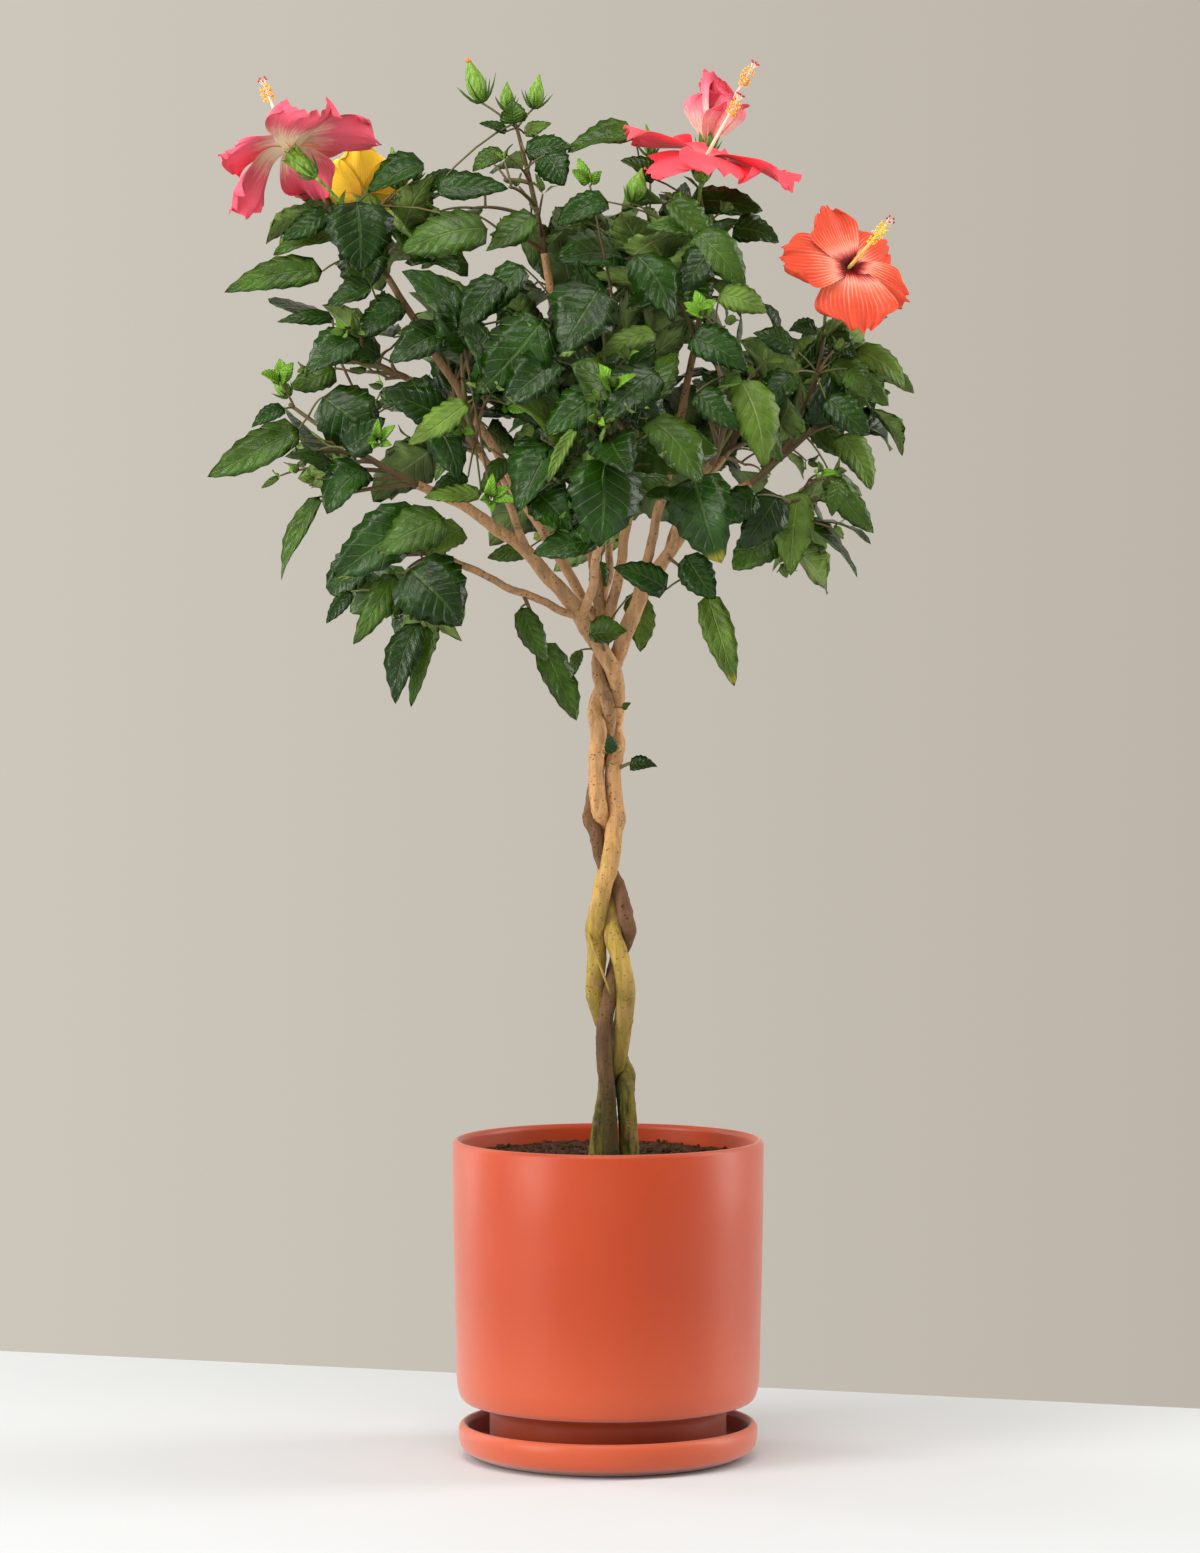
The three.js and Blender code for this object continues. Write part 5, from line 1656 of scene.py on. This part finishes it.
class HIBISCUS_OT_make_soil(bpy.types.Operator):
    """Fills the pot with crumbly soil"""

    bl_idname = "hibiscus.make_soil"
    bl_label = "Soil"

    rings = 46
    turns = 150
    depth = 0.06
    crumbs = 900

    def execute(self, context):
        low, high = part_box("soil")
        radius = high.x
        top = context.scene.hibiscus_pot.soil_top
        surface = [(radius * k / self.rings, top) for k in range(self.rings + 1)]
        under = top - self.depth
        profile = [(0, under), (radius - 0.003, under), *surface[::-1]]
        bm = spun(profile, self.turns)
        bmesh.ops.remove_doubles(bm, verts=bm.verts, dist=SAME_PLACE)
        for v in bm.verts:
            if v.co.z > top - 0.01:
                v.co.z += self.bumps(v.co)
        piece_of(mesh_of(bm, "soil_surface"), [soil_finish()], "soil", "soil")

        lump = grain_template()
        dice = random.Random(21)
        crumbs = Joined()
        for _ in range(self.crumbs):
            turn, out = dice.uniform(0, FULL_TURN), math.sqrt(dice.random()) * (radius - 0.004)
            at = Vector((out * math.cos(turn), out * math.sin(turn), top))
            size = dice.uniform(0.8, 2.6)
            squeeze = np.array([dice.uniform(0.6, 1.3) for _ in range(3)])
            spin = np.array(Matrix.Rotation(dice.uniform(0, 6.3), 3, "Z"))
            knobs = 1 + 0.3 * np.array([dice.uniform(-1, 1) for _ in range(len(lump.rest))])
            places = (lump.rest * squeeze * knobs[:, None]) @ spin.T * size
            height = (top + self.bumps(at)) / MM + 0.25 * size
            crumbs.add(lump, places + vec(at.x / MM, at.y / MM, height), 0)
        crumbs.build("soil_crumbs", [soil_finish()], "soil")
        return {"FINISHED"}

    def bumps(self, at):
        broad = noise.noise(at * 26) * 0.0026
        fine = noise.noise(at * 120) * 0.0015 + noise.noise(at * 330) * 0.0008
        return broad + fine


# Stems, boughs and twigs.


SCAR_SPACING = 27


def bark_relief(strength):
    """Ridges along the grain, warts and leaf scars, as a height over a limb's skin."""

    def relief(places, radii):
        out = np.empty(len(places))
        for i, (x, y, z) in enumerate(places):
            ridge = noise.noise(Vector((x * 0.2, y * 0.2, z * 0.022)))
            fine = noise.noise(Vector((x * 0.7, y * 0.7, z * 0.16)))
            wart = max(0.0, noise.noise(Vector((x * 0.33, y * 0.33, z * 0.24 + 40))) - 0.3)
            shift = 5 * noise.noise(Vector((x * 0.1, y * 0.1, z * 0.02)))
            scar = math.exp(-(((z + shift) % SCAR_SPACING - 13) / 1.3) ** 2)
            out[i] = ridge * 0.8 + fine * 0.4 + wart * 2.4 + scar * 0.45
        return out * strength * np.clip(radii / 6, 0.3, 1)

    return relief


BLEND_BEFORE = 24  # how far before the fork a stem starts to take its bough's radius
BLEND_OVER = 40
STEM_WANDER, BOUGH_WANDER = 1.5, 1.2
STEM_SPACING, BOUGH_SPACING = 2.6, 3.0  # between the rings of a limb


def carried_line(stem):
    """A stem's line from the soil through the fork and along the bough that it becomes."""
    foot = SOIL_TOP - 2
    heights = np.arange(foot, FORK_HEIGHT - 3, 4.0)
    points = [stem_point(stem, max(h, SOIL_TOP)) * vec(1, 1, 0) + UP * h for h in heights]
    bough, _, pull, end, (thick, thin) = bough_row(CARRIED_ON[stem])
    curve = bend_points(bough_lines()[bough][0], pull, end, 40)
    curve = wandering(curve, STEM_WANDER, 2.0 * stem)
    line, run = respaced([*points, *curve], STEM_SPACING)
    line = smoothed(line, 5)
    at_fork = int(np.argmin(np.abs(line[:, 2] - FORK_HEIGHT)))
    radii = np.array([stem_radius(stem, z) for z in line[:, 2]])
    share = np.clip((run - run[at_fork]) / (run[-1] - run[at_fork]), 0, 1)
    grown = thick * (1 - share) + thin * share
    mixing = np.clip((run - run[at_fork] + BLEND_BEFORE) / BLEND_OVER, 0, 1)
    return line, radii * (1 - mixing) + grown * mixing


class HIBISCUS_OT_make_stems(bpy.types.Operator):
    """Grows the three braided stems, each with the bough that carries it on"""

    bl_idname = "hibiscus.make_stems"
    bl_label = "Braided stems"

    sides = 26
    bark_swell = 1.05

    def execute(self, context):
        strength = plant_sizes().bark_relief / MM
        for stem, name in enumerate(STEM_NAMES):
            line, radii = carried_line(stem)
            made = Joined()
            made.add_tube(self.sides, line, radii * self.bark_swell, relief=bark_relief(strength))
            finish = dark_stem_finish() if stem == 1 else stem_finish()
            slot = "bark_dark" if stem == 1 else "bark"
            if stem == 2:
                self.add_stub(made)
            made.build(name + "_bark", [finish], slot, name, CARRIED_ON[stem])
        return {"FINISHED"}

    def add_stub(self, made):
        """The thin dead shoot that lies along the braid."""
        line = bend_points((-17, -8, 440), (-9, -17, 418), (2, -15, 388), 8)
        made.add_tube(7, line, (1.5, 0.9))


class HIBISCUS_OT_make_boughs(bpy.types.Operator):
    """Grows the side boughs and the fine twigs that the leaves stand on"""

    bl_idname = "hibiscus.make_boughs"
    bl_label = "Boughs and twigs"

    sides = 14
    stem_sides = 9
    twig_sides = 6
    thin = 2.2  # twigs up to this radius have fewer sides

    def execute(self, context):
        strength = plant_sizes().bark_relief / MM
        boughs = Joined()
        names = []
        for name, _, pull, end, radii in BOUGHS:
            if name in CARRIED_ON.values():
                continue
            names.append(name)
            curve = bend_points(bough_lines()[name][0], pull, end, 24)
            line, _ = respaced(wandering(curve, BOUGH_WANDER, len(names)), BOUGH_SPACING)
            boughs.add_tube(self.sides, line, radii, relief=bark_relief(strength))
        boughs.build("side_boughs", [bough_finish()], "bark", *names)

        twigs = Joined()
        for points, radii in growth().twigs:
            sides = self.twig_sides if radii[0] <= self.thin else self.stem_sides
            twigs.add_tube(sides, points, radii)
        twigs.build("twigs", [twig_finish()], "bark")
        return {"FINISHED"}


class HIBISCUS_OT_make_leaves(bpy.types.Operator):
    """Hangs the leaves of each mass on its twigs, and their stalks"""

    bl_idname = "hibiscus.make_leaves"
    bl_label = "Leaves"

    def execute(self, context):
        out = growth()
        dice = random.Random(3)
        template = leaf_template()
        uvs = template.flat_uvs()
        finishes = leaf_finishes()
        for name, leaves in out.leaves.items():
            made = Joined()
            for base, tip, facing, width, green in leaves:
                places = leaf_places(base, tip, facing, width, dice)
                under = SHADED_SLOT if is_inside(base, name) else UNDER_SLOT
                made.add(template, places, np.array([green, under]), uvs)
            node = name if name in SPRAYS else "foliage_" + name
            made.build("leaves_" + name.replace("spray_", "on_"), finishes, "foliage", node)
        stalks = Joined()
        for points, radii in out.stalks:
            stalks.add_tube(5, points, radii)
        stalks.build("leaf_stalks", [stalk_finish()], "foliage")
        return {"FINISHED"}


# Buds and blooms.


NEARLY_UP = UP + vec(0.01, 0.02, 0)
LOBES = 5  # a hibiscus has five petals, five lobes to its cup and five stigmas


def add_bracts(made, base, axis, count, size, spread, dice, slot):
    """Narrow bracts that stand round the foot of a bud or a bloom's cup."""
    u, v = square_to(axis, NEARLY_UP)
    for k in range(count):
        out = turned_to(u, v, FULL_TURN * (k + 0.2 * dice.random()) / count)
        tip = base + (axis + out * spread) * size * dice.uniform(0.85, 1.15)
        line = bend_points(base, base + out * size * 0.45, tip, 4)
        made.add_tube(5, line, (0.7, 1.25, 1.2, 0.8, 0.1), slot)


class HIBISCUS_OT_make_buds(bpy.types.Operator):
    """Sets the buds, with their bracts, on the ends of the stalks"""

    bl_idname = "hibiscus.make_buds"
    bl_label = "Buds"

    body = (0.3, 0.62, 0.92, 1.0, 0.93, 0.74, 0.5, 0.26, 0.08)
    opening = 37  # buds longer than this show the petals' colour at their tips

    def execute(self, context):
        dice = random.Random(17)
        made = Joined()
        for base, tip, radius in growth().buds:
            line = np.linspace(base, tip, len(self.body))
            made.add_tube(10, line, np.array(self.body) * radius)
            tall = norm(tip - base)
            add_bracts(made, base, unit(tip - base), 7, tall * 0.46, 0.95, dice, 2)
            if tall > self.opening:
                cap = np.array([mix(base, tip, t) for t in (0.88, 0.95, 1.0)])
                made.add_tube(8, cap, np.array((0.3, 0.2, 0.05)) * radius, 1)
        tip_finish = plain_bloom_finish("bud_tip", srgb(206, 96, 44), srgb(224, 140, 60), 300.0)
        made.build("buds", [bud_finish(), tip_finish, bract_finish()], "foliage")
        return {"FINISHED"}


PETAL_COLUMNS = 24
PETAL_ROWS = 16
PETAL_RUN = 1.1  # a petal's curve is worked out this far, as a share of its length
PETAL_STEPS = 70
FURLED = 30  # petals opened less than this, in degrees, wrap round their bloom


@functools.cache
def petal_template():
    bm = bmesh.new()
    bmesh.ops.create_grid(bm, x_segments=PETAL_COLUMNS, y_segments=PETAL_ROWS, size=1)
    bmesh.ops.translate(bm, verts=bm.verts, vec=(0, 1, 0))
    bmesh.ops.scale(bm, verts=bm.verts, vec=(1, 0.5, 1))
    return Template(bm)


def petal_places(bloom, row, dice):
    """One petal: narrow at its foot, wide and ruffled at its edge, opening and curling back."""
    rest = petal_template().rest
    t, s = rest[:, 0], rest[:, 1]
    turn, opening, curl, length_share, width_share = row
    axis = unit(vec(bloom["axis"]))
    up = UP if axis[2] < 0.9 else vec(0, -1, 0)
    u = unit(up - axis * up.dot(axis))
    v = np.cross(axis, u)
    out = turned_to(u, v, math.radians(turn))
    side = np.cross(axis, out)
    size = bloom["radius"] * length_share
    furled = opening < FURLED

    widening = np.sin(math.pi / 2 * np.clip(s / 0.74, 0, 1))
    rounding = np.sqrt(1 - 0.62 * np.clip((s - 0.7) / 0.3, 0, 1) ** 2.2)
    half = bloom["radius"] * width_share / 2 * (0.13 + 0.87 * widening) * rounding
    scallop = 0.035 * np.sin(t * 13 + turn) + 0.025 * np.sin(t * 29 + 2 * turn)
    reach = s * (1 - 0.24 * np.abs(t) ** 2.6 * s**2) + scallop * s**5
    steps = np.linspace(0, PETAL_RUN, PETAL_STEPS)
    opened = 0.3 + 0.7 * np.clip(steps / 0.34, 0, 1) ** 0.8
    lean = np.radians(opening * opened + curl * steps**2)
    flow = np.cumsum(np.stack([np.sin(lean), np.cos(lean)]), axis=1) * PETAL_RUN / PETAL_STEPS
    outward = np.interp(reach, steps, flow[0]) * size
    upward = np.interp(reach, steps, flow[1]) * size
    face_lean = np.interp(reach, steps, lean)

    phase = [dice.uniform(0, FULL_TURN) for _ in range(4)]
    ruffle = (
        np.sin(t * 4.2 + phase[0] + 1.6 * s) * 0.55
        + np.sin(t * 8.5 + phase[1]) * 0.34 * s
        + np.sin(t * 15 + phase[2]) * 0.32 * s**3
        + np.sin(s * 6 + phase[3]) * 0.25 * t
        + np.sin(t * 26 + phase[0] * 2) * 0.3 * s**6
    )
    height = bloom["ruffle"] * size * s**1.5 * (0.4 + 0.6 * np.abs(t)) * ruffle
    height = height + 0.05 * size * t * s - 0.03 * size * (1 - t**2) * np.sin(math.pi * s)
    if furled:
        wrap = t * 1.25
        across = np.sin(wrap) * half
        outward = outward - (1 - np.cos(wrap)) * half * 0.9
        height = height * 0.7
    else:
        across = t * half
    lift = upward + height * np.sin(face_lean)
    push = outward - height * np.cos(face_lean)
    centre = vec(bloom["centre"])
    return centre + np.outer(across, side) + np.outer(push, out) + np.outer(lift, axis)


class HIBISCUS_OT_make_blooms(bpy.types.Operator):
    """Opens the five blooms, with their cups, columns and anthers"""

    bl_idname = "hibiscus.make_blooms"
    bl_label = "Blooms"

    petal_thickness = 0.0004
    anthers = 60
    steps = 12  # along a column
    # The column's parts: name, two colours, the scale of the mottling and the roughness.
    column_parts = (
        ("bloom_column", (246, 214, 190), (250, 232, 210), 120.0, 0.5),
        ("anthers", (236, 160, 52), (248, 204, 96), 500.0, 0.8),
        ("stigma", (170, 30, 30), (214, 70, 50), 500.0, 0.8),
        ("yellow_column", (240, 196, 96), (250, 226, 130), 120.0, 0.5),
        ("yellow_anthers", (236, 196, 48), (250, 224, 90), 500.0, 0.8),
    )

    def execute(self, context):
        dice = random.Random(29)
        template = petal_template()
        uvs = template.flat_uvs()
        cups, columns = Joined(), Joined()
        for name, bloom in BLOOMS.items():
            made = Joined()
            for row in bloom["petals"]:
                made.add(template, petal_places(bloom, row, dice), 0, uvs)
            piece = made.build("petals_" + name, [petal_of(name)], "foliage")
            wall = piece.modifiers.new("thickness", "SOLIDIFY")
            wall.thickness = self.petal_thickness
            smooth = piece.modifiers.new("smooth", "SUBSURF")
            smooth.levels = smooth.render_levels = 1
            self.add_cup(cups, bloom, dice)
            self.add_column(columns, bloom, dice)
        cups.build("bloom_cups", [bud_finish(), bract_finish()], "foliage")
        finishes = [
            plain_bloom_finish(name, srgb(*low), srgb(*high), scale, rough)
            for name, low, high, scale, rough in self.column_parts
        ]
        columns.build("bloom_columns", finishes, "foliage")
        return {"FINISHED"}

    def add_cup(self, cups, bloom, dice):
        base, centre = vec(bloom["base"]), vec(bloom["centre"])
        axis = unit(centre - base)
        mass = MASSES[bloom["mass"]]
        stem, _ = mass_stem(mass)
        lines = [stem, *(s["points"] for s in grow_shoots(mass, stem))]
        root = nearest_twig(base, unit(vec(bloom["axis"])), lines)
        cups.add_tube(8, bowed(root, base, 0.06 * norm(base - root), 8), (1.2, 1.6))
        line = np.array([mix(base, centre, t) for t in (0, 0.12, 0.35, 0.65, 0.95)])
        cups.add_tube(12, line, (1.6, 5.2, 7.6, 7.8, 6.4))
        u, v = square_to(axis, NEARLY_UP)
        for k in range(LOBES):
            out = turned_to(u, v, FULL_TURN * (k + 0.5) / LOBES)
            start = mix(base, centre, 0.6) + out * 5.2
            line = bend_points(start, start + axis * 8 + out * 1.0, start + axis * 13 + out * 4.5, 4)
            cups.add_tube(6, line, (2.4, 2.8, 2.2, 1.3, 0.2))
        add_bracts(cups, base + axis * 1.5, axis, 8, 15, 0.75, dice, 1)

    def add_column(self, columns, bloom, dice):
        """The column, with its anthers near the end and five stigmas past them."""
        centre, reach = vec(bloom["centre"]), vec(bloom["column"])
        axis = unit(reach)
        end = centre + reach
        span = norm(reach)
        body, dust = (3, 4) if bloom is BLOOMS["orange"] else (0, 1)
        bow = mix(centre, end, 0.5) + unit(vec(bloom["axis"])) * 0.06 * span
        line = bend_points(centre - axis * 3, bow, end, self.steps)
        columns.add_tube(8, line, (1.8, 0.8), body)
        grain = grain_template()
        u, v = frames_along(line)
        low, high = (0.76, 1.0) if body == 0 else (0.6, 0.96)
        for _ in range(self.anthers):
            share = dice.uniform(low, high)
            k = int(share * self.steps)
            turn = dice.uniform(0, FULL_TURN)
            out = turned_to(u[k], v[k], turn)
            start = point_along(line, share)
            tip = start + out * dice.uniform(2.6, 5.0) + axis * dice.uniform(0, 1.8)
            columns.add_tube(4, np.linspace(start, tip, 3), (0.22, 0.18), body)
            columns.add(grain, grain.rest * dice.uniform(0.8, 1.25) + tip, dust)
        for k in range(LOBES):
            tip = end + turned_to(u[-1], v[-1], FULL_TURN * k / LOBES) * 3.4 + axis * 7
            columns.add_tube(4, np.array([end - axis, mix(end, tip, 0.5), tip]), (0.35, 0.28))
            columns.add(grain, grain.rest * 1.1 + tip, 2)


# The stage.


class HIBISCUS_OT_make_stage(bpy.types.Operator):
    """Sets the pale floor, the soft lights and the camera at the photograph's angle"""

    bl_idname = "hibiscus.make_stage"
    bl_label = "Stage"

    half_width = 6
    half_depth = 4
    floor_thickness = 0.03
    back_edge = 0.404  # how far behind the pot the floor ends
    edge_slope = -0.31
    wall_half = 0.12  # half the width of the wall's fade, as a heading from the camera
    sensor = 36
    focal_length = 4922 / 1553  # as a share of the picture's height
    pitch = 1.88  # degrees below level
    light_colour = (1.0, 0.975, 0.94)
    # name, place, width and height, power, the point it faces
    lights = (
        ("window", (-2.6, -1.7, 1.4), (1.3, 2.8), 86.0, (0, 0, 0.5)),
        ("left_edge", (-2.1, 1.1, 1.0), (0.7, 2.4), 18.0, (0, 0, 0.4)),
        ("right_edge", (2.3, 0.3, 1.1), (0.9, 2.4), 42.0, (0, 0, 0.4)),
        ("top", (-0.3, -1.3, 3.0), (1.6, 1.6), 40.0, (0, 0, 0.6)),
        ("front", (-0.5, -2.8, 0.6), (1.6, 0.6), 6.0, (-0.1, 0, 0.95)),
    )

    def execute(self, context):
        scene = context.scene
        bm = bmesh.new()
        bmesh.ops.create_grid(bm, x_segments=8, y_segments=8, size=1)
        bmesh.ops.scale(bm, verts=bm.verts, vec=(self.half_width, self.half_depth, 1))
        bmesh.ops.translate(bm, verts=bm.verts, vec=(0, self.back_edge - self.half_depth, 0))
        for v in bm.verts:
            v.co.y += v.co.x * self.edge_slope
        bmesh.ops.solidify(bm, geom=bm.faces, thickness=self.floor_thickness)
        floor = bpy.data.objects.new("floor", mesh_of(bm, "floor", smooth=False))
        scene.collection.objects.link(floor)
        finish = Finish("pale_floor", rough=0.7, shine=0.3)
        pale = srgb(210, 215, 220)
        finish.coat(finish.blend(finish.span(finish.noise(3.0), 0.3, 0.7), shade(pale, 0.985), pale))
        floor.data.materials.append(finish.material)

        scene.world = bpy.data.worlds.new("wall_light")
        wall = Nodes(scene.world)
        heading = wall.node("TexCoord").outputs["Generated"]
        across = wall.node("SeparateXYZ", {"Vector": heading}).outputs["X"]
        inputs = {"Value": across, "From Min": -self.wall_half, "From Max": self.wall_half}
        share = wall.node("MapRange", inputs).outputs["Result"]
        fade = wall.ramp(share, (0.0, srgb(204, 198, 187)), (1.0, srgb(189, 181, 170)))
        wall.feed(wall.nodes["Background"].inputs["Color"], fade)

        for row in self.lights:
            self.soft_light(*row)

        lens = bpy.data.cameras.new("camera")
        lens.sensor_width = self.sensor
        lens.lens = self.focal_length * self.sensor
        camera = bpy.data.objects.new("camera", lens)
        camera.location = VIEWER * MM
        camera.rotation_euler = (math.radians(90 - self.pitch), 0, 0)
        scene.collection.objects.link(camera)
        scene.camera = camera
        scene.view_settings.view_transform = "Standard"
        return {"FINISHED"}

    def soft_light(self, name, place, size, watts, aim):
        light = bpy.data.lights.new(name, "AREA")
        light.shape = "RECTANGLE"
        light.size, light.size_y = size
        light.energy = watts
        light.color = self.light_colour
        lamp = bpy.data.objects.new(name, light)
        lamp.location = place
        lamp.rotation_euler = (Vector(aim) - Vector(place)).to_track_quat("-Z", "Y").to_euler()
        bpy.context.scene.collection.objects.link(lamp)


class HIBISCUS_PT_panel(bpy.types.Panel):
    """Lists the steps that make the plant and its pot, and their sizes and colours"""

    bl_idname = "HIBISCUS_PT_panel"
    bl_label = "Hibiscus in a pot"
    bl_space_type = "VIEW_3D"
    bl_region_type = "UI"
    bl_category = "Hibiscus"

    def draw(self, context):
        for group in (getattr(context.scene, name) for name in PROPERTY_GROUPS):
            box = self.layout.box()
            for name in group.__annotations__:
                box.prop(group, name)
        for operator in OPERATORS:
            self.layout.operator(operator.bl_idname)


OPERATORS = (
    HIBISCUS_OT_make_stage,
    HIBISCUS_OT_make_pot,
    HIBISCUS_OT_make_soil,
    HIBISCUS_OT_make_stems,
    HIBISCUS_OT_make_boughs,
    HIBISCUS_OT_make_leaves,
    HIBISCUS_OT_make_buds,
    HIBISCUS_OT_make_blooms,
)


def register():
    for cls in (*PROPERTY_GROUPS.values(), *OPERATORS, HIBISCUS_PT_panel):
        bpy.utils.register_class(cls)
    for name, group in PROPERTY_GROUPS.items():
        setattr(bpy.types.Scene, name, PointerProperty(type=group))


def unregister():
    for name in PROPERTY_GROUPS:
        delattr(bpy.types.Scene, name)
    for cls in reversed((*PROPERTY_GROUPS.values(), *OPERATORS, HIBISCUS_PT_panel)):
        bpy.utils.unregister_class(cls)


def main():
    register()
    for operator in OPERATORS:
        group, name = operator.bl_idname.split(".")
        getattr(getattr(bpy.ops, group), name)()


if __name__ == "__main__":
    main()
